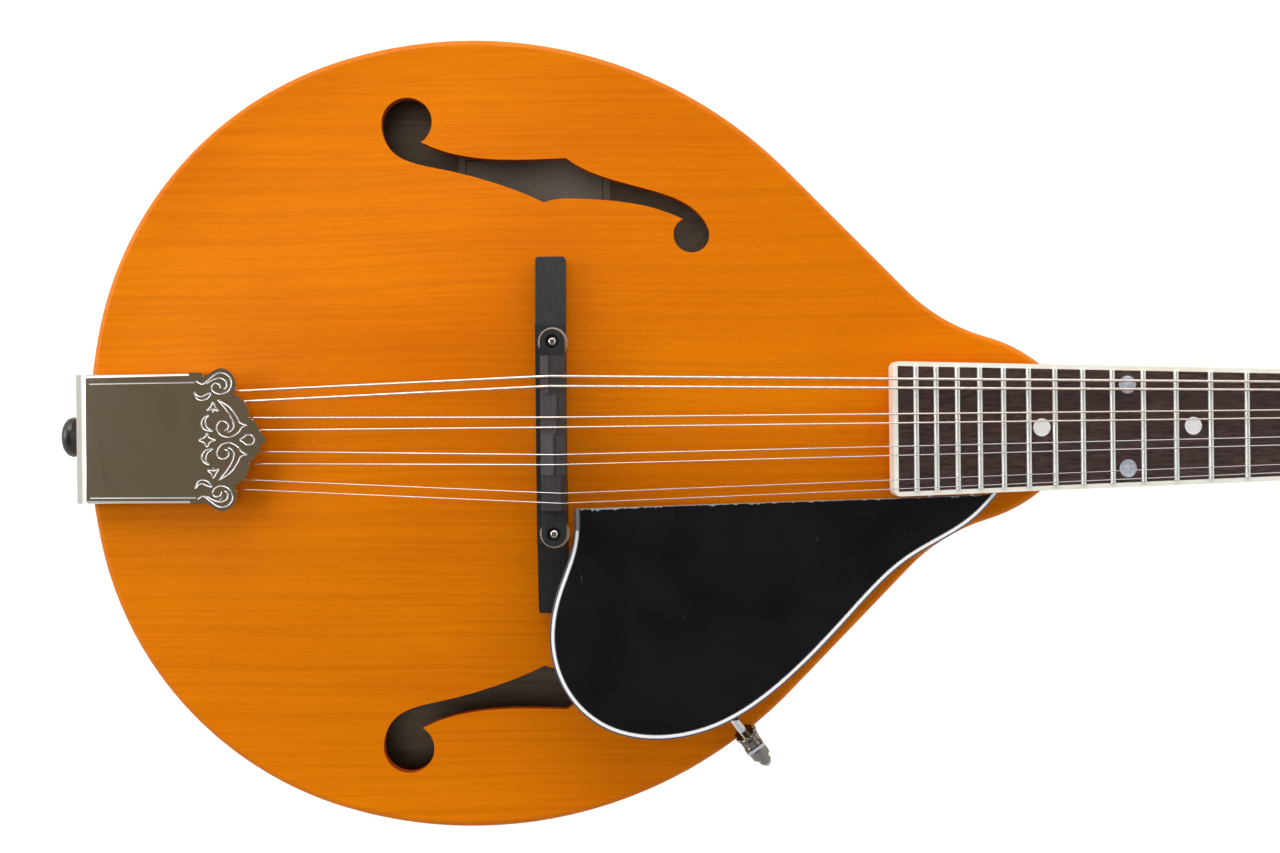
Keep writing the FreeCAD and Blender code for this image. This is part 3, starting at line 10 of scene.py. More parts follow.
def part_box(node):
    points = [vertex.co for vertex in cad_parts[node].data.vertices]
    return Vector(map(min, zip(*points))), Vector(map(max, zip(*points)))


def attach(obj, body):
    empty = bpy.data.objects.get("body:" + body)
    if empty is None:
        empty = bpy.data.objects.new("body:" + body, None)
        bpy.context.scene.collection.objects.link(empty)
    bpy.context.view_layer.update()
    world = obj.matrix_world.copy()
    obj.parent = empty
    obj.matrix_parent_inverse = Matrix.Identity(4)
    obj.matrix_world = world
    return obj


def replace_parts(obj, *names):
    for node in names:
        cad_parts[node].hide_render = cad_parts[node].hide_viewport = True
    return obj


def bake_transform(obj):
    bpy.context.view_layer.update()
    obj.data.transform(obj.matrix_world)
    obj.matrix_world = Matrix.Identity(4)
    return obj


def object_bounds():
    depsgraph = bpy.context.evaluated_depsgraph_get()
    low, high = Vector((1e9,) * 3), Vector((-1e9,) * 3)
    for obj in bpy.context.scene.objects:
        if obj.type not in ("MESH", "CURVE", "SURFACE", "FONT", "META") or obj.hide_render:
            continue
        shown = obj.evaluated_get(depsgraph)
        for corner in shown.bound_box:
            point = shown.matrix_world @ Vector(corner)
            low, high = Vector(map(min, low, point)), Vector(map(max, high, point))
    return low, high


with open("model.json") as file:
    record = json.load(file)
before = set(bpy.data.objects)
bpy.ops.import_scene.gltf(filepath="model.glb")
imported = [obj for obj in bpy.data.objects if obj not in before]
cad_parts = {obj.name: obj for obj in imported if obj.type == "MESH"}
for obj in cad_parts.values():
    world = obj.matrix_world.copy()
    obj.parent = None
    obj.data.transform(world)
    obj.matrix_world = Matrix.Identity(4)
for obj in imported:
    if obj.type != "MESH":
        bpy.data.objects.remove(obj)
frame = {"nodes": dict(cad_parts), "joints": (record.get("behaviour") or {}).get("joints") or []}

cad_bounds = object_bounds()

# ---------------------------------------------------------------- places and sizes, in millimetres
MM = 0.001
JOINTS = {j["name"]: j for j in frame["joints"]}
NODES = frame["nodes"]

SCALE_END = Vector((173.0, 0.0, 49.5))
SCALE_LENGTH = 352.4
NUT_LENGTH = 4.2
FRET_HEIGHT = 1.0

HOOKS = Vector((23.0, -1.2, 29.6))
COVER_TOP = 2.5            # top of the cover's roof above the strings' line
COVER_SIDE = {1: 21.6, -1: 20.5}
GROOVE_HALF = 0.25         # engraved grooves: half width and depth
GROOVE_DEEP = 0.17
GROOVE_SECTION = [(1, 0), (0.6, 0.7), (0, 1), (-0.6, 0.7), (-1, 0), (-0.6, -0.7), (0, -1), (0.6, -0.7)]

OUTER_DOTS = 8             # dots farther than this from the middle line are grey
BODY_MIDDLE = 150.0        # X of the body's middle
HOLES_X = (100, 224)       # stretch of the top that holds the soundholes
HOLES_Y = (55, 112)        # the same, outward from the middle line
HOLES_REACH = 125          # farthest that a soundhole comes from the body's middle

COURSES = ["g", "d", "a", "e"]
STRING_RADIUS = {"g": 0.50, "d": 0.34, "a": 0.21, "e": 0.15}
SADDLE_D = {"g": -6.6, "d": -4.2, "a": -5.2, "e": -3.2}
SADDLE_Y = {"g": 17.6, "d": 4.8, "a": -6.8, "e": -18.8}
PAIR_GAP_SADDLE = 3.1
COURSE_GAP_NUT = 7.4
PAIR_GAP_NUT = 2.4
NUT_CREST = 0.6            # the strings bend this far past the nut's front
HOOK_Y = [14.2, 10.8, 7.4, 3.0]
HOOK_ROWS = [0.0, 4.5]
HOOK_RISE = 0.168
BRIDGE_SHIFT = -1.6
ACTION_NUT = 0.4
ACTION_12 = 1.6
POST_NAMES = {1: ["g1", "g2", "d1", "d2"], -1: ["e2", "e1", "a2", "a1"]}
POST_FIRST = 30.0
POST_STEP = 23.0
POST_Y = 20.0
POST_WAIST = 2.65
WRAP_Z = 5.1
WRAP_PLAY = 0.02
WRAP_FACES = (-4.0, 0.2)   # the turns round a post, below and above WRAP_Z
WRAP_INSIDE = POST_WAIST + 0.021
GEAR_TOP = -15.5           # a post's faces below this, in the headstock's frame, are its gear
BUTTON_START = 32.5        # distance of a key's button from the middle line
LOOP_R = 1.55
LOOP_WIRE = 0.3            # largest wire radius that a loop is drawn with
WIRE_SIDES = 8
WINDING = {"g": 0.46, "d": 0.36}       # pitch of the winding on the wound strings
WINDING_RINGS = 3          # rings of points in one turn of the winding
WINDING_SWELL = 0.10       # its rise and fall, as a share of the string's radius
PLAIN_STEP = 6.0
BRIDGE_POSTS = [(167.7, 28.5), (167.7, -31.7)]
SADDLE_STEPS = 52.2        # height above which the saddle's wood is cut into steps
POST_FOOT = 37.7
POST_TOP = 51.5
HEAD_DROP = 4.4
HEAD_ANGLE = 9.5

GUARD_TOP = -2.4
GUARD_THICK = 1.6
GUARD_EDGE = [(1.2, -24.1), (0.8, -34.0), (-4.6, -50.8), (-6.9, -65.5), (-2.4, -81.5), (9.0, -93.0),
              (27.5, -97.6), (47.0, -93.8), (66.5, -81.8), (90.8, -58.5), (109.0, -42.0), (130.6, -29.3),
              (138.4, -21.6)]
GUARD_CORNER = (104.0, -22.3)
GUARD_START_Y = -24.1
GUARD_SHADED_STEPS = 11            # steps of the binding's curve painted grey as shade
BINDING_WIDTH = 1.7
GUARD_TIP = (134.0, -21.7)
CHIP_STEP = 0.8
CHIPPED = (3, 22)          # stretch of the straight edge that is torn most
# the grey outer strip is partly the binding's own dark line and partly painted shade along the guard's outer
# side
GUARD_LAYERS = [("outer", -0.02, 0.48), ("white", 0.48, 1.42), ("inner", 1.42, 1.72)]
CLAMP_BACK = 4.0           # the barrel is drawn from this far before its joint's point
CLAMP_BORE = 1.46


def frame_at(origin, x_axis):
    """Matrix, in millimetres, of a frame pitched about Y."""
    x = Vector(x_axis).normalized()
    y = Vector((0, 1, 0))
    z = x.cross(y)
    return Matrix.Translation(origin) @ Matrix((x, y, z)).transposed().to_4x4()


NECK = frame_at(SCALE_END, JOINTS["rod_nut_turn"]["axis"])
TAIL = frame_at(HOOKS, JOINTS["cover_slide"]["axis"])
HEAD_LEAN = Matrix.Rotation(math.radians(HEAD_ANGLE), 4, "Y")
HEAD = NECK @ Matrix.Translation((SCALE_LENGTH + NUT_LENGTH, 0, -HEAD_DROP)) @ HEAD_LEAN


# ---------------------------------------------------------------- camera
CAMERA_AT = Vector((194.9, 1.64, 550.5))
CAMERA_ROLL = -0.0105


def make_camera():
    data = bpy.data.cameras.new("camera")
    data.lens = 45
    data.sensor_width = 36
    data.clip_start = 0.01
    camera = bpy.data.objects.new("camera", data)
    camera.location = CAMERA_AT * MM
    camera.rotation_euler = (0, 0, CAMERA_ROLL)
    bpy.context.scene.collection.objects.link(camera)
    bpy.context.scene.camera = camera


# ---------------------------------------------------------------- node helpers
class Graph:
    """A material's node tree, with short calls for the nodes that the finishes share."""

    def __init__(self, name):
        self.material = bpy.data.materials.new(name)
        self.material.use_nodes = True
        self.tree = self.material.node_tree
        self.shader = self.tree.nodes["Principled BSDF"]

    def add(self, kind, inputs=(), **settings):
        node = self.tree.nodes.new(kind)
        for key, value in settings.items():
            setattr(node, key, value)
        for key, value in dict(inputs).items():
            self.give(node.inputs[key], value)
        return node

    def give(self, socket, value):
        if isinstance(value, bpy.types.NodeSocket):
            self.tree.links.new(value, socket)
        else:
            socket.default_value = value

    def set(self, **values):
        for key, value in values.items():
            name = key.replace("_", " ")
            if isinstance(value, (tuple, list)) and len(value) == 3:
                value = (*value, 1.0)
            self.give(self.shader.inputs[name], value)

    def place(self, stretch=(1, 1, 1)):
        """The point on the object in metres, with each axis scaled."""
        at = self.add("ShaderNodeTexCoord").outputs["Object"]
        return self.add("ShaderNodeVectorMath", {0: at, 1: stretch}, operation="MULTIPLY").outputs[0]

    def noise(self, at, scale, detail=3.0, rough=0.5, distortion=0.0):
        inputs = {"Vector": at, "Scale": scale, "Detail": detail,
                  "Roughness": rough, "Distortion": distortion}
        return self.add("ShaderNodeTexNoise", inputs).outputs["Fac"]

    def ramp(self, value, low, high, to_low=0.0, to_high=1.0):
        inputs = {"Value": value, "From Min": low, "From Max": high, "To Min": to_low, "To Max": to_high}
        return self.add("ShaderNodeMapRange", inputs).outputs["Result"]

    def math(self, operation, a, b=0.0):
        return self.add("ShaderNodeMath", {0: a, 1: b}, operation=operation).outputs[0]

    def mix(self, share, a, b):
        a = (*a, 1.0) if isinstance(a, tuple) else a
        b = (*b, 1.0) if isinstance(b, tuple) else b
        node = self.add("ShaderNodeMix", data_type="RGBA")
        self.give(node.inputs["Factor"], share)
        self.give(node.inputs[6], a)
        self.give(node.inputs[7], b)
        return node.outputs[2]

    def axis(self, at, name):
        return self.add("ShaderNodeSeparateXYZ", {"Vector": at}).outputs[name]

    def bump(self, height, strength, distance):
        inputs = {"Height": height, "Strength": strength, "Distance": distance}
        self.give(self.shader.inputs["Normal"], self.add("ShaderNodeBump", inputs).outputs["Normal"])


# ---------------------------------------------------------------- finishes
def lacquered_wood(name, light, deep, line, figure=0.0):
    """Amber lacquer over wood with its grain along X: wavy growth lines, short pores and fine fibre."""
    sway_metres, line_stretch, line_density = 0.010, 6.0, 520.0
    g = Graph(name)
    wander = g.noise(g.place((5.0, 14.0, 14.0)), 1.0, 2.0)
    at = g.place()
    sway = g.math("MULTIPLY", g.math("SUBTRACT", wander, 0.5), sway_metres)
    across = g.math("ADD", g.axis(at, "Y"), sway)
    spread = {"X": g.math("MULTIPLY", g.axis(at, "X"), line_stretch),
              "Y": g.math("MULTIPLY", across, line_density), "Z": 0.0}
    rings = g.noise(g.add("ShaderNodeCombineXYZ", spread).outputs[0], 1.0, 3.0, 0.62)
    lines = g.ramp(rings, 0.44, 0.60)
    fibre = g.noise(g.place((60.0, 1500.0, 1500.0)), 1.0, 2.0, 0.6)
    pores = g.noise(g.place((320.0, 3000.0, 3000.0)), 1.0, 1.0)
    broad = g.noise(g.place((9.0, 22.0, 22.0)), 1.0, 2.0)
    colour = g.mix(g.ramp(broad, 0.3, 0.7), deep, light)
    colour = g.mix(g.math("MULTIPLY", lines, 0.22), colour, line)
    colour = g.mix(g.ramp(fibre, 0.42, 0.72, 0.0, 0.16), colour, line)
    colour = g.mix(g.ramp(pores, 0.66, 0.74, 0.0, 0.30), colour, line)
    if figure:
        flame = g.noise(g.place((170.0, 12.0, 12.0)), 1.0, 2.0, 0.5, 0.4)
        colour = g.mix(g.ramp(flame, 0.35, 0.65, 0.0, figure), colour, line)
    g.set(Base_Color=colour, Roughness=g.ramp(fibre, 0.2, 0.8, 0.38, 0.5),
          Coat_Weight=0.14, Coat_Roughness=0.06, Specular_IOR_Level=0.08)
    g.bump(g.math("ADD", g.math("MULTIPLY", broad, 0.6), fibre), 0.10, 0.0002)
    return g.material


def bare_wood(name, pale, dark):
    g = Graph(name)
    grain = g.noise(g.place((40.0, 700.0, 700.0)), 1.0, 3.0, 0.6)
    broad = g.noise(g.place((20.0, 60.0, 60.0)), 1.0, 2.0)
    colour = g.mix(g.ramp(grain, 0.35, 0.7), pale, dark)
    colour = g.mix(g.ramp(broad, 0.3, 0.8, 0.0, 0.4), colour, dark)
    g.set(Base_Color=colour, Roughness=g.ramp(grain, 0.3, 0.7, 0.7, 0.85))
    g.bump(grain, 0.25, 0.0002)
    return g.material


def dark_wood(name, base, streak, stretch, pore_share, rough, coat=0.0):
    """Ebony or rosewood: broad streaks, and open pores that run with the grain."""
    g = Graph(name)
    broad = g.noise(g.place(tuple(s * 0.12 for s in stretch)), 1.0, 3.0, 0.6, 0.3)
    streaks = g.noise(g.place(stretch), 1.0, 4.0, 0.62, 0.2)
    pores = g.noise(g.place(tuple(s * 2.3 for s in stretch)), 1.0, 1.0)
    hole = g.ramp(pores, 0.60, 0.68)
    colour = g.mix(g.ramp(streaks, 0.32, 0.68), base, streak)
    colour = g.mix(g.ramp(broad, 0.35, 0.7, 0.0, 0.45), colour, base)
    colour = g.mix(g.math("MULTIPLY", hole, pore_share), colour, tuple(c * 0.22 for c in base))
    g.set(Base_Color=colour, Roughness=g.ramp(streaks, 0.3, 0.7, rough, rough + 0.12), Coat_Weight=coat,
          Coat_Roughness=0.15)
    g.bump(g.math("SUBTRACT", g.math("MULTIPLY", streaks, 0.3), hole), 0.22, 0.00012)
    return g.material


def metal(name, colour, rough, stain_and_reflection=None, scratch=0.04, tarnish_and_reflection=0.0):
    g = Graph(name)
    cloud = g.noise(g.place(), 90.0, 3.0)
    hairs = g.noise(g.place((4000.0, 260.0, 900.0)), 1.0, 1.0)
    # the second colour, mixed in clouds, is real tarnish on most metals, and on the clamp's dark chrome a
    # painted reflection of the dark brown ceiling
    tint = g.mix(g.ramp(cloud, 0.35, 0.75, 0.0, tarnish_and_reflection), colour, stain_and_reflection or colour)
    g.set(Base_Color=tint, Metallic=1.0, Roughness=g.ramp(cloud, 0.3, 0.7, rough, rough * 1.5))
    g.bump(hairs, scratch, 0.00005)
    return g.material


def moulded(name, colour, rough, coat=0.3, speck=0.06, scuffs=0.0):
    """Plastic with a slight cloudiness, fine moulding texture and, where asked, faint scuffs."""
    g = Graph(name)
    cloud = g.noise(g.place(), 45.0, 3.0)
    grit = g.noise(g.place(), 2600.0, 2.0)
    lighter = tuple(min(1.0, c * 1.25 + 0.004) for c in colour)
    tint = g.mix(g.ramp(cloud, 0.3, 0.7), colour, lighter)
    roughness = g.ramp(cloud, 0.3, 0.7, rough, rough * 1.4 + 0.02)
    if scuffs:
        hair = g.noise(g.place((900.0, 120.0, 500.0)), 1.0, 2.0, 0.5, 2.0)
        marks = g.ramp(hair, 0.76, 0.82, 0.0, scuffs)
        tint = g.mix(marks, tint, (0.35, 0.36, 0.38))
    g.set(Base_Color=tint, Roughness=roughness, Coat_Weight=coat, Coat_Roughness=0.05)
    g.bump(grit, speck, 0.00003)
    return g.material


def pearl(name, pale, shade, cell=520.0):
    """Nacre: cloudy cells that shift from pale to grey."""
    g = Graph(name)
    swirl = g.noise(g.place(), cell, 2.0, 0.5, 1.6)
    fine = g.noise(g.place((1800.0, 600.0, 600.0)), 1.0, 2.0)
    colour = g.mix(g.ramp(swirl, 0.35, 0.65), pale, shade)
    g.set(Base_Color=colour, Roughness=g.ramp(fine, 0.3, 0.7, 0.16, 0.3),
          Coat_Weight=0.6, Coat_Roughness=0.04)
    g.bump(swirl, 0.05, 0.0001)
    return g.material


def wound_wire(name):
    """Bronze winding: fine turns round the string, which runs nearly along X."""
    pitch_metres = 0.00042
    g = Graph(name)
    turns = g.math("SINE", g.math("MULTIPLY", g.axis(g.place(), "X"), 2 * math.pi / pitch_metres))
    # painted shade between the winding's turns and painted highlight on their crests: the colour runs from
    # dark to light with each turn
    shade = g.ramp(turns, -1.0, 1.0)
    g.set(Base_Color=g.mix(shade, (0.60, 0.45, 0.36), (0.92, 0.83, 0.76)), Metallic=1.0,
          Roughness=g.ramp(shade, 0.0, 1.0, 0.34, 0.24))
    g.bump(turns, 0.35, 0.00003)
    return g.material


def paper(name):
    """A blank label with a plain ruled border."""
    border_metres, half_rule_metres = 0.0026, 0.00018
    g = Graph(name)
    low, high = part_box("label")
    at = g.place()
    inside = []
    for axis, k in (("X", 0), ("Y", 1)):
        middle, half = (low[k] + high[k]) / 2, (high[k] - low[k]) / 2
        off_middle = g.math("ABSOLUTE", g.math("SUBTRACT", g.axis(at, axis), middle))
        inside.append(g.math("SUBTRACT", half, off_middle))
    off_border = g.math("SUBTRACT", g.math("MINIMUM", *inside), border_metres)
    ruled = g.math("LESS_THAN", g.math("ABSOLUTE", off_border), half_rule_metres)
    fibre = g.noise(at, 900.0, 3.0)
    colour = g.mix(g.ramp(fibre, 0.3, 0.7), (0.70, 0.60, 0.50), (0.78, 0.68, 0.57))
    g.set(Base_Color=g.mix(ruled, colour, (0.22, 0.19, 0.16)), Roughness=g.ramp(fibre, 0.3, 0.7, 0.8, 0.9))
    g.bump(fibre, 0.1, 0.0001)
    return g.material


def cork(name):
    g = Graph(name)
    crumbs = g.add("ShaderNodeTexVoronoi", {"Vector": g.place(), "Scale": 900.0})
    fine = g.noise(g.place(), 2500.0, 2.0)
    colour = g.mix(g.ramp(crumbs.outputs["Distance"], 0.1, 0.7), (0.42, 0.25, 0.12), (0.62, 0.42, 0.24))
    g.set(Base_Color=g.mix(g.ramp(fine, 0.6, 0.8, 0.0, 0.7), colour, (0.12, 0.06, 0.03)), Roughness=0.9)
    g.bump(crumbs.outputs["Distance"], 0.4, 0.0003)
    return g.material


AMBER = lacquered_wood("amber_top", (0.80, 0.215, 0.0), (0.70, 0.165, 0.0), (0.46, 0.085, 0.0))
AMBER_MAPLE = lacquered_wood("amber_maple", (0.74, 0.20, 0.001), (0.62, 0.145, 0.0), (0.34, 0.060, 0.0), 0.5)
# upright walls round the soundholes are coloured a darker red than the top
HOLE_EDGE = lacquered_wood("darker_hole_wall", (0.50, 0.075, 0.008), (0.36, 0.04, 0.004), (0.16, 0.015, 0.0))
INSIDE = bare_wood("inside_wood", (0.50, 0.39, 0.30), (0.36, 0.27, 0.20))
EBONY = dark_wood("ebony", (0.010, 0.011, 0.013), (0.021, 0.022, 0.024), (900.0, 60.0, 900.0), 0.5, 0.44)
EBONY_HEAD = dark_wood("ebony_head", (0.012, 0.012, 0.013), (0.022, 0.021, 0.021),
                       (50.0, 900.0, 900.0), 0.4, 0.24, 0.5)
SADDLE_WOOD = dark_wood("saddle_wood", (0.013, 0.012, 0.012), (0.040, 0.026, 0.024),
                        (800.0, 90.0, 800.0), 0.4, 0.40)
ROSEWOOD = dark_wood("rosewood", (0.024, 0.012, 0.011), (0.092, 0.046, 0.040),
                     (90.0, 1100.0, 1100.0), 0.85, 0.40)
CREAM = moulded("cream_binding", (0.93, 0.89, 0.75), 0.26, 0.3)
BONE = moulded("bone", (0.80, 0.74, 0.60), 0.34, 0.1)
BLACK_GLOSS = moulded("black_gloss", (0.0012, 0.0028, 0.0060), 0.10, 0.0, 0.03, 0.3)
BLACK_SATIN = moulded("black_satin", (0.012, 0.012, 0.014), 0.28, 0.3)
GUARD_WHITE = moulded("guard_white", (0.95, 0.96, 0.99), 0.22, 0.4)
GUARD_GREY = moulded("guard_grey", (0.085, 0.080, 0.105), 0.25, 0.1)
# the white binding painted dark grey: painted shade near the bridge
GUARD_SHADED_WHITE = moulded("guard_white_painted_shade", (0.20, 0.21, 0.22), 0.4, 0.0, 0.3)
RAW_EDGE = moulded("raw_edge", (0.30, 0.31, 0.33), 0.55, 0.0, 0.5)
# the clamp's chrome painted dark, with clouds of brown: painted reflection of the dark brown ceiling
CHROME_WITH_PAINTED_REFLECTION = metal("chrome_with_painted_reflection", (0.30, 0.285, 0.25), 0.08, (0.16, 0.13, 0.09), 0.05, 0.7)
CHROME = metal("chrome", (0.82, 0.80, 0.77), 0.05, (0.66, 0.62, 0.56), 0.03, 0.4)
NICKEL = metal("nickel", (0.78, 0.75, 0.70), 0.14, (0.60, 0.55, 0.48), 0.08, 0.3)
FRET_NICKEL = metal("fret_nickel", (0.95, 0.96, 0.94), 0.42, (0.66, 0.68, 0.62), 0.06, 0.3)
BRASS = metal("gear_brass", (0.72, 0.50, 0.24), 0.22, (0.45, 0.30, 0.15), 0.1, 0.4)
WHEEL = metal("wheel_nickel", (0.98, 0.82, 0.72), 0.40, (0.85, 0.60, 0.45), 0.06, 0.5)
STEEL = metal("steel", (0.60, 0.60, 0.61), 0.24, (0.40, 0.38, 0.36), 0.1, 0.3)
PLAIN_WIRE = metal("plain_wire", (0.66, 0.63, 0.62), 0.16, (0.50, 0.44, 0.44), 0.05, 0.4)
WOUND_WIRE = wound_wire("wound_wire")
PEARL_WHITE = pearl("pearl_white", (1.0, 1.0, 1.0), (0.95, 0.96, 0.97))
PEARL_GREY = pearl("pearl_grey", (0.62, 0.65, 0.70), (0.34, 0.38, 0.45), 380.0)
PEARLOID = pearl("pearloid", (0.82, 0.79, 0.70), (0.58, 0.55, 0.50), 240.0)
PAPER = paper("label_paper")
CORK = cork("cork")


# ---------------------------------------------------------------- finishes on the CAD nodes
def paint(name, material, rules=()):
    """Gives a node its finish. A rule is one more finish, and a test of a face's middle (mm) and normal."""
    data = NODES[name].data
    data.materials.clear()
    data.materials.append(material)
    index = np.zeros(len(data.polygons), np.int32)
    if rules:
        middle = np.zeros(len(data.polygons) * 3, np.float32)
        normal = np.zeros(len(data.polygons) * 3, np.float32)
        data.polygons.foreach_get("center", middle)
        data.polygons.foreach_get("normal", normal)
        middle, normal = middle.reshape(-1, 3) / MM, normal.reshape(-1, 3)
        for k, (other, test) in enumerate(rules):
            data.materials.append(other)
            index[test(middle, normal)] = k + 1
    data.polygons.foreach_set("material_index", index)
    data.update()


def is_rim_wall(middle, normal):
    """Faces that stand upright round a soundhole: well inside the outline, and not level."""
    along, across = middle[:, 0], np.abs(middle[:, 1])
    upright = np.abs(normal[:, 2]) < 0.6
    in_x = (along > HOLES_X[0]) & (along < HOLES_X[1])
    in_y = (across > HOLES_Y[0]) & (across < HOLES_Y[1])
    return upright & in_x & in_y & (np.hypot(along - BODY_MIDDLE, across) < HOLES_REACH)


def paint_body():
    def inward(middle, normal):
        return (normal[:, 0] * (middle[:, 0] - BODY_MIDDLE) + normal[:, 1] * middle[:, 1]) < 0

    paint("top_plate", AMBER, [(HOLE_EDGE, is_rim_wall), (INSIDE, lambda m, n: n[:, 2] < -0.5)])
    paint("back_plate", AMBER_MAPLE, [(INSIDE, lambda m, n: n[:, 2] > 0.5)])
    for name in ("rib_bass", "rib_treble"):
        paint(name, AMBER_MAPLE, [(INSIDE, inward)])
    paint("neck_block", INSIDE, [(AMBER_MAPLE, lambda m, n: n[:, 0] > 0.5)])
    for name in ("tail_block", "linings", "tone_bars"):
        paint(name, INSIDE)
    paint("label", PAPER)


def paint_neck():
    finishes = {"neck": AMBER_MAPLE, "headstock_veneer": EBONY_HEAD, "truss_rod": STEEL,
                "truss_rod_nut": STEEL, "truss_rod_cover": BLACK_GLOSS, "headstock_screws": NICKEL,
                "fingerboard": ROSEWOOD, "fingerboard_binding": CREAM, "frets": FRET_NICKEL, "nut": BONE,
                "tuner_plate_bass": NICKEL, "tuner_plate_treble": NICKEL, "post_bushings": NICKEL}
    for name, material in finishes.items():
        paint(name, material)
    paint("fret_markers", PEARL_WHITE, [(PEARL_GREY, lambda m, n: np.abs(m[:, 1]) > OUTER_DOTS)])


def head_coordinates(middle):
    turn = np.array(HEAD.inverted().to_3x3())
    return (middle - np.array(HEAD.translation)) @ turn.T


def paint_tuners():
    """Nickel posts with brass gears and turns of string round them; steel keys with pearloid buttons."""
    def is_gear(middle, normal):
        return head_coordinates(middle)[:, 2] < GEAR_TOP

    def is_wire(middle, normal):
        x, y, z = head_coordinates(middle).T
        level = (z > WRAP_Z + WRAP_FACES[0]) & (z < WRAP_Z + WRAP_FACES[1])
        off_post = x - POST_FIRST - POST_STEP * np.round((x - POST_FIRST) / POST_STEP)
        return level & (np.hypot(off_post, np.abs(y) - POST_Y) > WRAP_INSIDE)

    def is_button(middle, normal):
        return np.abs(middle[:, 1]) > BUTTON_START

    for side in (1, -1):
        for name in POST_NAMES[side]:
            wire = WOUND_WIRE if name[0] in "gd" else PLAIN_WIRE
            paint(f"post_{name}", NICKEL, [(BRASS, is_gear), (wire, is_wire)])
            paint(f"tuner_key_{name}", STEEL, [(PEARLOID, is_button)])


def paint_hardware():
    finishes = {"bridge_base": EBONY, "thumbwheel_bass": WHEEL, "thumbwheel_treble": WHEEL,
                "strap_button": BLACK_SATIN, "pickguard": BLACK_GLOSS, "pickguard_binding": GUARD_WHITE,
                "pickguard_pins": STEEL, "pickguard_block": BLACK_SATIN, "clamp_pad": CORK}
    for name in ("bridge_posts", "tailpiece_base", "tailpiece_cover", "tailpiece_screws",
                 "clamp_rod", "rim_clamp", "clamp_nut"):
        finishes[name] = CHROME
    for name, material in finishes.items():
        paint(name, material)
    paint("bridge_saddle", EBONY, [(SADDLE_WOOD, lambda m, n: m[:, 2] > SADDLE_STEPS)])
    for course in COURSES:
        paint(f"strings_{course}", WOUND_WIRE if course in "gd" else PLAIN_WIRE)


# ---------------------------------------------------------------- making pieces
def make_piece(name, points, faces, materials, indices=None, body="mandolin", sharp=40):
    """A piece from points in millimetres; indices picks each face's material."""
    mesh = bpy.data.meshes.new(name)
    mesh.from_pydata([tuple(Vector(p) * MM) for p in points], [], faces)
    shape = bmesh.new()
    shape.from_mesh(mesh)
    bmesh.ops.recalc_face_normals(shape, faces=shape.faces)
    shape.to_mesh(mesh)
    shape.free()
    for material in materials:
        mesh.materials.append(material)
    if indices is not None:
        mesh.polygons.foreach_set("material_index", indices)
    mesh.shade_smooth()
    mesh.set_sharp_from_angle(angle=math.radians(sharp))
    piece = bpy.data.objects.new(name, mesh)
    bpy.context.scene.collection.objects.link(piece)
    if body:
        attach(piece, body)
    return piece


def skin(rings, closed=False):
    """Points and faces of a skin over rings of equal count, capped at both ends unless closed."""
    sides, count = len(rings[0]), len(rings)
    points = [p for ring in rings for p in ring]
    faces = []
    for k in range(count if closed else count - 1):
        a, b = k * sides, (k + 1) % count * sides
        faces += [(a + i, a + (i + 1) % sides, b + (i + 1) % sides, b + i) for i in range(sides)]
    if not closed:
        faces.append(tuple(reversed(range(sides))))
        faces.append(tuple((count - 1) * sides + i for i in range(sides)))
    return points, faces


def joined(skins):
    """Several (points, faces) as one."""
    points, faces = [], []
    for more, polygons in skins:
        faces += [tuple(len(points) + i for i in polygon) for polygon in polygons]
        points += more
    return points, faces


def circle(centre, u, v, radius, sides):
    turns = [2 * math.pi * i / sides for i in range(sides)]
    return [centre + (u * math.cos(t) + v * math.sin(t)) * radius for t in turns]


def side_axes(along):
    along = along.normalized()
    u = along.cross(Vector((0, 0, 1))).normalized()
    return u, along.cross(u)


def through(points, closed=False, steps=8):
    """Smooth line through points, as a denser list of points."""
    points = [Vector(p) for p in points]
    count = len(points)
    spans = count if closed else count - 1
    out = []
    for k in range(spans):
        pick = [(k + d) % count if closed else min(max(k + d, 0), count - 1) for d in (-1, 0, 1, 2)]
        p0, p1, p2, p3 = [points[i] for i in pick]
        for step in range(steps):
            t = step / steps
            tangents = (p2 - p0) * t + (2 * p0 - 5 * p1 + 4 * p2 - p3) * t ** 2
            out.append(p1 + 0.5 * (tangents + (3 * p1 - p0 - 3 * p2 + p3) * t ** 3))
    return out if closed else out + [points[-1]]


def stations(path, closed=False):
    """Each point of a path, with the two directions across it."""
    count = len(path)
    for k, at in enumerate(path):
        before = path[k - 1] if closed or k else path[0]
        after = path[(k + 1) % count] if closed or k < count - 1 else path[-1]
        u, v = side_axes(after - before)
        yield at, u, v


def lathe(profile, place, sides=32, ripple=None):
    """Closed ring of revolution about X: profile is (x, radius) round a section; ripple changes a radius."""
    rings = []
    for k in range(sides):
        turn = 2 * math.pi * k / sides
        ring = []
        for x, radius in profile:
            r = radius + (ripple(x, radius, turn) if ripple else 0.0)
            ring.append(place @ Vector((x, r * math.cos(turn), r * math.sin(turn))))
        rings.append(ring)
    return skin(rings, closed=True)


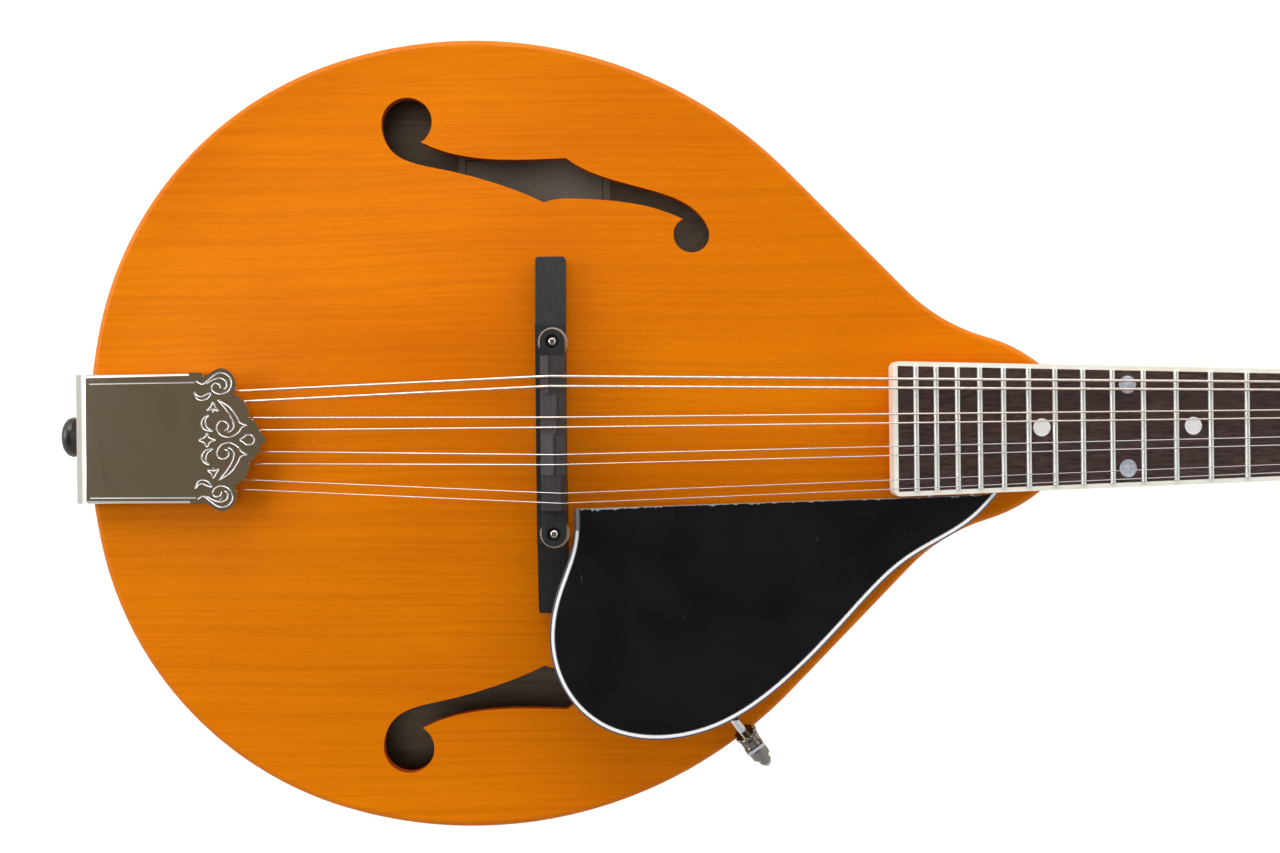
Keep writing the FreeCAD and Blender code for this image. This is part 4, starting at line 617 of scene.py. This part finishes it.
# ---------------------------------------------------------------- strings
def string_layout():
    """For each string: its course, and its four points from the tail to its post."""
    spots = {}
    for side, row in POST_NAMES.items():
        for k, name in enumerate(row):
            spots[name] = (POST_FIRST + POST_STEP * k, side)
    hooks = HOOK_Y + [-y for y in reversed(HOOK_Y)]
    layout = []
    for order in range(8):
        i, j = divmod(order, 2)
        course = COURSES[i]
        radius, d = STRING_RADIUS[course], SADDLE_D[course]
        nut_height = FRET_HEIGHT + ACTION_NUT + radius
        height = nut_height + 2 * (ACTION_12 - ACTION_NUT) * (1 - d / SCALE_LENGTH)
        hook_x = HOOK_ROWS[order % 2]
        x, side = spots[f"{course}{j + 1}"]
        saddle_y = SADDLE_Y[course] + PAIR_GAP_SADDLE * (0.5 - j) + BRIDGE_SHIFT
        nut_y = COURSE_GAP_NUT * (1.5 - i) + PAIR_GAP_NUT * (0.5 - j)
        layout.append((course, [
            HOOKS + Vector((hook_x, hooks[order], hook_x * HOOK_RISE)),
            NECK @ Vector((d, saddle_y, height)),
            NECK @ Vector((SCALE_LENGTH + NUT_CREST, nut_y, nut_height)),
            HEAD @ Vector((x, side * (POST_Y - POST_WAIST - radius - WRAP_PLAY), WRAP_Z))]))
    return layout


def wire(a, b, course):
    """Skin of a straight string; the winding of a wound one rises and falls in a helix."""
    radius, pitch = STRING_RADIUS[course], WINDING.get(course)
    along = b - a
    length = along.length
    u, v = side_axes(along)
    step = pitch / WINDING_RINGS if pitch else PLAIN_STEP
    count = max(2, int(length / step))
    swell = WINDING_SWELL * radius if pitch else 0.0
    rings = []
    for k in range(count + 1):
        at = length * k / count
        phase = 2 * math.pi * at / (pitch or 1.0)
        ring = []
        for i in range(WIRE_SIDES):
            turn = 2 * math.pi * i / WIRE_SIDES
            r = radius - swell + swell * math.cos(phase - turn)
            ring.append(a + along * (at / length) + (u * math.cos(turn) + v * math.sin(turn)) * r)
        rings.append(ring)
    return skin(rings)


def loop_and_twist(at, toward, course):
    """The loop over a hook, and the tail of the wire wound round the string in front of it."""
    radius = STRING_RADIUS[course]
    along = (toward - at).normalized()
    u, v = side_axes(along)
    centre = at - along * LOOP_R
    rings = []
    for p in circle(centre, along, u, LOOP_R, 24):
        rings.append(circle(p, (p - centre).normalized(), v, min(radius, LOOP_WIRE), WIRE_SIDES))
    thin, turns, turn_steps, gap, length = 0.14, 9, 10, 0.6, 8.0
    path = []
    for k in range(turns * turn_steps + 1):
        t = 2 * math.pi * k / turn_steps
        out = (u * math.cos(t) + v * math.sin(t)) * (radius + thin)
        path.append(at + along * (gap + length * k / (turns * turn_steps)) + out)
    twist = [circle(p, side, up, thin, 6) for p, side, up in stations(path)]
    return [skin(rings, closed=True), skin(twist)]


def make_strings():
    layout = string_layout()
    for course in COURSES:
        pair = [points for owner, points in layout if owner == course]
        finish = [WOUND_WIRE if course in WINDING else PLAIN_WIRE]
        tail, saddle, nut = [(pair[0][k] + pair[1][k]) / 2 for k in range(3)]
        spans = [("tail", 0, 1, tail, saddle), ("speaking", 1, 2, nut, saddle)]
        for label, i, j, start, end in spans:
            points, faces = joined([wire(p[i], p[j], course) for p in pair])
            piece = make_piece(f"string_{course}_{label}", points, faces, finish, body=None)
            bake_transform(piece)
            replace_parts(piece, f"strings_{course}")
        ends = []
        for p in pair:
            ends += loop_and_twist(p[0], p[1], course) + [wire(p[2], p[3], course)]
        points, faces = joined(ends)
        piece = make_piece(f"string_{course}_ends", points, faces, finish)
        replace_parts(piece, f"strings_{course}")


# ---------------------------------------------------------------- tailpiece cover
# Engraved lines on the cover, drawn for its bass half in the strings' frame and mirrored.
SCROLL = [(47.4, 4.7), (45.6, 3.7), (44.4, 2.2), (41.8, 0.9), (38.8, 1.6), (37.2, 3.9), (38.1, 5.7),
          (39.9, 6.0), (41.2, 4.8), (40.8, 3.4), (39.8, 3.0)]
LEAF_BACK = [(37.8, 12.9), (41.6, 10.6), (44.0, 7.6), (45.2, 5.5), (47.4, 4.7)]
LEAF_FRONT = [(37.8, 12.9), (40.6, 9.7), (42.4, 6.8), (43.0, 4.4), (42.3, 3.0), (41.0, 2.4)]
EAR_OUTER = [(30.5, 19.0), (32.6, 18.0), (35.0, 19.6), (37.7, 21.3), (40.4, 21.2), (42.0, 19.7),
             (42.3, 17.7), (41.1, 15.5), (38.7, 14.7), (36.4, 15.5), (35.6, 17.0), (36.7, 18.1),
             (38.2, 17.8), (38.6, 16.6)]
EAR_INNER = [(33.8, 18.0), (36.3, 19.3), (38.7, 19.8), (40.4, 18.9), (40.7, 17.1), (39.8, 16.2)]
CRESCENT_EDGE = [(29.8, 15.4), (30.5, 13.6), (32.2, 12.8), (34.2, 13.3), (35.3, 14.9), (33.9, 14.6),
                 (32.4, 14.0), (30.9, 14.3)]
CRESCENT_MIDDLE = [(34.4, 7.9), (32.6, 6.8), (32.1, 5.0), (33.3, 3.4), (35.7, 2.9), (34.0, 4.2), (33.4, 5.6),
                   (33.6, 6.8)]
TRIANGLE = [(36.0, 12.1), (35.3, 10.7), (34.1, 9.6), (35.9, 9.8), (36.0, 9.0), (36.4, 9.8), (37.7, 9.4),
            (36.9, 10.7)]
MIDDLE_DIAMOND = [(31.3, 0.0), (33.0, 0.8), (33.9, 2.1), (34.8, 0.8), (36.6, 0.0), (34.8, -0.8),
                  (33.9, -2.1), (33.0, -0.8)]
MIDDLE_LOZENGE = [(45.2, 0.0), (46.4, 0.8), (47.4, 1.5), (49.2, 1.4), (49.9, 0.0), (49.2, -1.4),
                  (47.4, -1.5), (46.4, -0.8)]
SIDE_LINE = [(-6.6, 18.5), (30.0, 18.5)]
MIRRORED_OPEN = [SCROLL, LEAF_BACK, LEAF_FRONT, EAR_OUTER, EAR_INNER, SIDE_LINE]
MIRRORED_CLOSED = [CRESCENT_EDGE, CRESCENT_MIDDLE, TRIANGLE]
MIDDLE_CLOSED = [MIDDLE_DIAMOND, MIDDLE_LOZENGE]


def groove_paths():
    """Every engraved line, with whether it closes on itself."""
    lines = [(points, False, side) for points in MIRRORED_OPEN for side in (1, -1)]
    lines += [(points, True, side) for points in MIRRORED_CLOSED for side in (1, -1)]
    lines += [(points, True, 1) for points in MIDDLE_CLOSED]
    for points, closed, side in lines:
        path = through([(x, side * y, COVER_TOP) for x, y in points], closed)
        yield path, closed


def groove(path, closed):
    """Skin of a bead whose lower half cuts the groove."""
    rings = []
    for at, u, v in stations(path, closed):
        rings.append([TAIL @ (at + u * GROOVE_HALF * a + v * GROOVE_DEEP * b) for a, b in GROOVE_SECTION])
    return skin(rings, closed=closed)


def engraved_cover():
    """The cover with its engraved lines cut into the roof."""
    points, faces = joined([groove(path, closed) for path, closed in groove_paths()])
    tool = make_piece("groove_tool", points, faces, [], body=None)
    mesh = NODES["tailpiece_cover"].data.copy()
    shape = bmesh.new()
    shape.from_mesh(mesh)
    bmesh.ops.remove_doubles(shape, verts=shape.verts, dist=0.000001)
    shape.to_mesh(mesh)
    shape.free()
    if "custom_normal" in mesh.attributes:
        mesh.attributes.remove(mesh.attributes["custom_normal"])
    cover = bpy.data.objects.new("engraved_cover", mesh)
    bpy.context.scene.collection.objects.link(cover)
    cut = cover.modifiers.new("grooves", "BOOLEAN")
    cut.solver = "EXACT"
    cut.use_self = True
    cut.object = tool
    cut_mesh = bpy.data.meshes.new_from_object(cover.evaluated_get(bpy.context.evaluated_depsgraph_get()))
    cover.modifiers.clear()
    cover.data = cut_mesh
    bpy.data.objects.remove(tool)
    cut_mesh.materials.clear()
    cut_mesh.materials.append(CHROME)
    cut_mesh.polygons.foreach_set("material_index", np.zeros(len(cut_mesh.polygons), np.int32))
    cut_mesh.shade_smooth()
    cut_mesh.set_sharp_from_angle(angle=math.radians(44))
    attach(cover, "cover")
    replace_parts(cover, "tailpiece_cover")


def make_tail_bend():
    """The rolled end of the base's sheet, which stands out past the cover and curls back to the apron."""
    x, z, sheet = 15.4, 29.7, 0.9
    turns = [(0, 0.4), (14, 0.4), (26, 0.5), (32, 1.3), (36, 1.3), (40, 1.3), (46, 0.8), (60, 0.45),
             (75, 0.45), (92, 0.8), (112, 0.8), (122, 1.2)]
    outer = [(x, z)]
    for angle, length in turns:
        x -= length * math.cos(math.radians(angle))
        z -= length * math.sin(math.radians(angle))
        outer.append((x, z))
    inner = [(x + sheet * min(1.0, k / 4), z - sheet) for k, (x, z) in enumerate(outer)]
    section = outer + inner[::-1]
    ends = (HOOKS.y + COVER_SIDE[1], HOOKS.y - COVER_SIDE[-1])
    rings = [[Vector((x, y, z)) for x, z in section] for y in ends]
    points, faces = skin(rings)
    make_piece("tailpiece_bend", points, faces, [CHROME], sharp=30)


def make_strap_button():
    """Turned button: a domed end, a rounded rim and a waisted neck."""
    profile = [(-3.0, 2.2), (-2.8, 3.8), (-2.2, 5.3), (-1.2, 6.4), (0.1, 6.85), (1.3, 6.6), (2.2, 5.4),
               (3.2, 4.2), (6.0, 3.7), (9.0, 3.9), (11.7, 4.6)]
    rings = [circle(Vector((x, 0, 0)), Vector((0, 1, 0)), Vector((0, 0, 1)), r, 48) for x, r in profile]
    points, faces = skin(rings)
    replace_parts(make_piece("turned_button", points, faces, [BLACK_SATIN]), "strap_button")


# ---------------------------------------------------------------- bridge posts
def make_bridge_posts():
    """Threaded posts, each with a chamfered top and a dimple."""
    pitch, radius, depth, step, sides = 0.5, 1.40, 0.09, 0.125, 20
    top = [(0.45, 1.34), (0.12, 1.0), (0.0, 0.72), (0.0, 0.6), (0.4, 0.42), (0.8, 0.3)]
    skins = []
    for x, y in BRIDGE_POSTS:
        rings = []
        for k in range(int((POST_TOP - 0.3 - POST_FOOT) / step)):
            z = POST_FOOT + k * step
            ring = []
            for i in range(sides):
                turn = 2 * math.pi * i / sides
                r = radius - depth + depth * math.cos(2 * math.pi * z / pitch - turn)
                ring.append(Vector((x + r * math.cos(turn), y + r * math.sin(turn), z)))
            rings.append(ring)
        for below, r in top:
            centre = Vector((x, y, POST_TOP - below))
            rings.append(circle(centre, Vector((1, 0, 0)), Vector((0, 1, 0)), r, sides))
        skins.append(skin(rings))
    points, faces = joined(skins)
    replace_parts(make_piece("threaded_posts", points, faces, [CHROME], sharp=30), "bridge_posts")


# ---------------------------------------------------------------- pickguard edge
def natural_spline(points, steps=16):
    """Smooth line through points in the plane, straight at its ends, as a dense array."""
    p = np.array(points, float)
    gaps = np.linalg.norm(np.diff(p, axis=0), axis=1)
    count = len(p)
    system, right = np.eye(count), np.zeros((count, 2))
    for k in range(1, count - 1):
        a, b = gaps[k - 1], gaps[k]
        system[k, k - 1:k + 2] = a, 2 * (a + b), b
        right[k] = 6 * ((p[k + 1] - p[k]) / b - (p[k] - p[k - 1]) / a)
    bend = np.linalg.solve(system, right)
    out = []
    for k in range(count - 1):
        gap = gaps[k]
        for t in np.linspace(0, 1, steps, endpoint=False):
            line = p[k] * (1 - t) + p[k + 1] * t
            sag = (((1 - t) ** 3 - (1 - t)) * bend[k] + (t ** 3 - t) * bend[k + 1]) * gap ** 2 / 6
            out.append(line + sag)
    return np.array(out + [p[-1]])


def make_guard_binding():
    """Three layers round the pickguard's curved edge. Near the bridge the white one is painted grey as
    shade.
    """
    edge = natural_spline(GUARD_EDGE)
    along = np.gradient(edge, axis=0)
    along /= np.linalg.norm(along, axis=1)[:, None]
    inward = np.stack([-along[:, 1], along[:, 0]], axis=1)
    for label, near, far in GUARD_LAYERS:
        lift, chamfer = 0.06 if label == "white" else 0.03, 0.05
        top, low = GUARD_TOP + lift, GUARD_TOP - GUARD_THICK
        rings = []
        for at, way in zip(edge, inward):
            a, b = at + way * near, at + way * far
            corners = [(a, low), (b, low), (b, top - chamfer), (b - way * chamfer, top),
                       (a + way * chamfer, top), (a, top - chamfer)]
            rings.append([NECK @ Vector((x, min(y, GUARD_START_Y) if at is edge[0] else y, z))
                          for (x, y), z in corners])
        points, faces = skin(rings)
        # the first steps, by the bridge, take the white painted grey as shade
        shaded = np.zeros(len(faces), np.int32)
        if label == "white":
            shaded[:len(rings[0]) * GUARD_SHADED_STEPS] = 1
        finishes = [GUARD_WHITE, GUARD_SHADED_WHITE] if label == "white" else [GUARD_GREY]
        piece = make_piece(f"guard_binding_{label}", points, faces, finishes, shaded, sharp=30)
        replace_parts(piece, "pickguard_binding")


def make_guard_chips():
    """Raw, chipped edge of the pickguard beside the strings."""
    rng = np.random.default_rng(5)
    first = (GUARD_EDGE[0][0] + BINDING_WIDTH, GUARD_EDGE[0][1])
    ends = [np.array(p) for p in (first, GUARD_CORNER, GUARD_TIP)]
    rings = []
    for a, b in zip(ends, ends[1:]):
        count = int(np.linalg.norm(b - a) / CHIP_STEP)
        for k in range(count):
            at = a + (b - a) * k / count
            torn = 0.10 + 0.5 * rng.random() ** 5
            if CHIPPED[0] < at[0] < CHIPPED[1]:
                torn += 0.5 * rng.random()
            corners = [(0.04, GUARD_TOP - 0.7), (0.04, GUARD_TOP - 0.1), (-0.06, GUARD_TOP + 0.03),
                       (-torn, GUARD_TOP + 0.03), (-torn - 0.02, GUARD_TOP - 0.1)]
            rings.append([NECK @ Vector((at[0], at[1] + y, z)) for y, z in corners])
    points, faces = skin(rings)
    make_piece("guard_raw_edge", points, faces, [RAW_EDGE], sharp=20)


# ---------------------------------------------------------------- rim clamp's barrel
def make_clamp_barrel():
    """Barrel nut: a notched flange, a fluted grip each side of the clamp's eye, and a plain tip."""
    joint = JOINTS["clamp_barrel_turn"]
    along = Vector(joint["axis"]).normalized()
    level = Vector((0, 0, 1)).cross(along).normalized()
    place = Matrix((along, level, along.cross(level))).transposed().to_4x4()
    place.translation = Vector(joint["pos_m"]) / MM - along * CLAMP_BACK
    bore, cut, notches, flute_count = CLAMP_BORE, 0.45, 8, 10
    flange_end, fluted = -4.5, ((-3.6, -0.4), (2.2, 6.9))

    def flutes(x, radius, turn):
        if radius <= bore + 0.01:
            return 0.0
        if x < flange_end:
            return -cut * max(0.0, math.cos(notches * turn)) ** 4
        if any(low < x < high for low, high in fluted):
            return -cut * max(0.0, math.cos(flute_count * turn)) ** 2
        return 0.0

    upper = [(-5.8, bore), (-5.8, 3.2), (-5.6, 3.5), (-4.8, 3.5), (-4.6, 3.2), (-4.4, 2.4), (-4.0, 2.4),
             (-3.8, 2.9), (-3.5, 3.1), (-0.5, 3.1), (-0.15, 2.8), (-0.15, bore)]
    lower = [(1.36, bore), (1.36, 2.8), (1.7, 3.1), (2.0, 3.15), (6.3, 3.15), (6.7, 2.9), (6.8, 2.4),
             (7.3, 2.4), (7.6, 2.2), (7.6, bore)]
    tip = [(7.6, bore), (7.6, 2.05), (9.8, 2.05), (10.2, 1.8), (10.2, bore)]
    grips = [lathe(profile, place, 96, flutes) for profile in (upper, lower)]
    points, faces = joined([*grips, lathe(tip, place)])
    barrel = make_piece("clamp_barrel_nut", points, faces, [CHROME_WITH_PAINTED_REFLECTION], body="clamp_barrel", sharp=30)
    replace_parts(barrel, "clamp_nut")
    rod = [(10.6, 0.0), (11.2, 0.0), (11.2, 0.6), (11.0, 1.3), (10.6, 1.38)]
    points, faces = lathe(rod, place, 24)
    make_piece("clamp_rod_end", points, faces, [CHROME_WITH_PAINTED_REFLECTION], sharp=30)


# ---------------------------------------------------------------- stage and light
FLOOR_Z = cad_bounds[0][2] - 0.0002
LIGHTS_AIM = (0.2, 0.0, 0.0)


def make_floor():
    g = Graph("floor_pale")
    fine = g.noise(g.place(), 60.0, 3.0)
    colour = g.mix(g.ramp(fine, 0.3, 0.7), (0.24, 0.24, 0.24), (0.26, 0.26, 0.26))
    g.set(Base_Color=colour, Roughness=0.9, Emission_Color=(1.0, 1.0, 1.0), Emission_Strength=0.92)
    bpy.ops.mesh.primitive_plane_add(size=60, location=(0.2, 0, FLOOR_Z))
    floor = bpy.context.object
    floor.name = "floor"
    floor.data.materials.append(g.material)
    floor.visible_glossy = False


def make_world():
    """A soft studio: a bright ring, brightest on the bass side, under a dark brown ceiling."""
    world = bpy.data.worlds.new("studio")
    world.use_nodes = True
    bpy.context.scene.world = world
    tree = world.node_tree
    direction = tree.nodes.new("ShaderNodeTexCoord").outputs["Generated"]
    split = tree.nodes.new("ShaderNodeSeparateXYZ")
    tree.links.new(direction, split.inputs[0])

    def scaled(value, low, high, to_low, to_high):
        node = tree.nodes.new("ShaderNodeMapRange")
        node.interpolation_type = "SMOOTHSTEP"
        tree.links.new(value, node.inputs["Value"])
        for key, number in (("From Min", low), ("From Max", high), ("To Min", to_low), ("To Max", to_high)):
            node.inputs[key].default_value = number
        return node.outputs["Result"]

    def blend(share, a, b):
        mix = tree.nodes.new("ShaderNodeMix")
        mix.data_type = "RGBA"
        tree.links.new(share, mix.inputs["Factor"])
        for socket, colour in ((mix.inputs[6], a), (mix.inputs[7], b)):
            if isinstance(colour, tuple):
                socket.default_value = (*colour, 1.0)
            else:
                tree.links.new(colour, socket)
        return mix.outputs[2]

    height = split.outputs["Z"]
    ring = blend(scaled(split.outputs["Y"], -0.55, 0.25, 0.0, 1.0), (0.54, 0.59, 0.66), (1.55, 1.53, 1.50))
    ceiling = blend(scaled(height, 0.60, 0.79, 0.0, 1.0), ring, (0.15, 0.115, 0.075))
    colour = blend(scaled(height, -0.06, 0.08, 1.0, 0.0), ceiling, (0.74, 0.73, 0.71))
    background = tree.nodes["Background"]
    tree.links.new(colour, background.inputs["Color"])
    background.inputs["Strength"].default_value = 1.0


def make_light(name, at, size, power):
    data = bpy.data.lights.new(name, "AREA")
    data.shape = "RECTANGLE"
    data.size, data.size_y = size
    data.energy = power
    light = bpy.data.objects.new(name, data)
    light.location = Vector(at)
    aim = Vector(LIGHTS_AIM) - Vector(at)
    light.rotation_euler = aim.to_track_quat("-Z", "Y").to_euler()
    bpy.context.scene.collection.objects.link(light)
    return light


def make_stage():
    make_floor()
    make_world()
    make_light("softbox_bass", (0.05, 1.3, 0.9), (1.4, 0.8), 9.0)
    make_light("softbox_tail", (-1.2, 0.3, 0.8), (0.8, 1.0), 7.0)
    overhead = make_light("overhead", (0.2, 0.0, 1.4), (0.3, 0.3), 2.0)
    overhead.visible_glossy = False
    bpy.context.scene.view_settings.view_transform = "Standard"
    bpy.context.scene.view_settings.look = "None"


make_camera()
paint_body()
paint_neck()
paint_tuners()
paint_hardware()
make_strings()
engraved_cover()
make_tail_bend()
make_strap_button()
make_bridge_posts()
make_guard_binding()
make_guard_chips()
make_clamp_barrel()
make_stage()
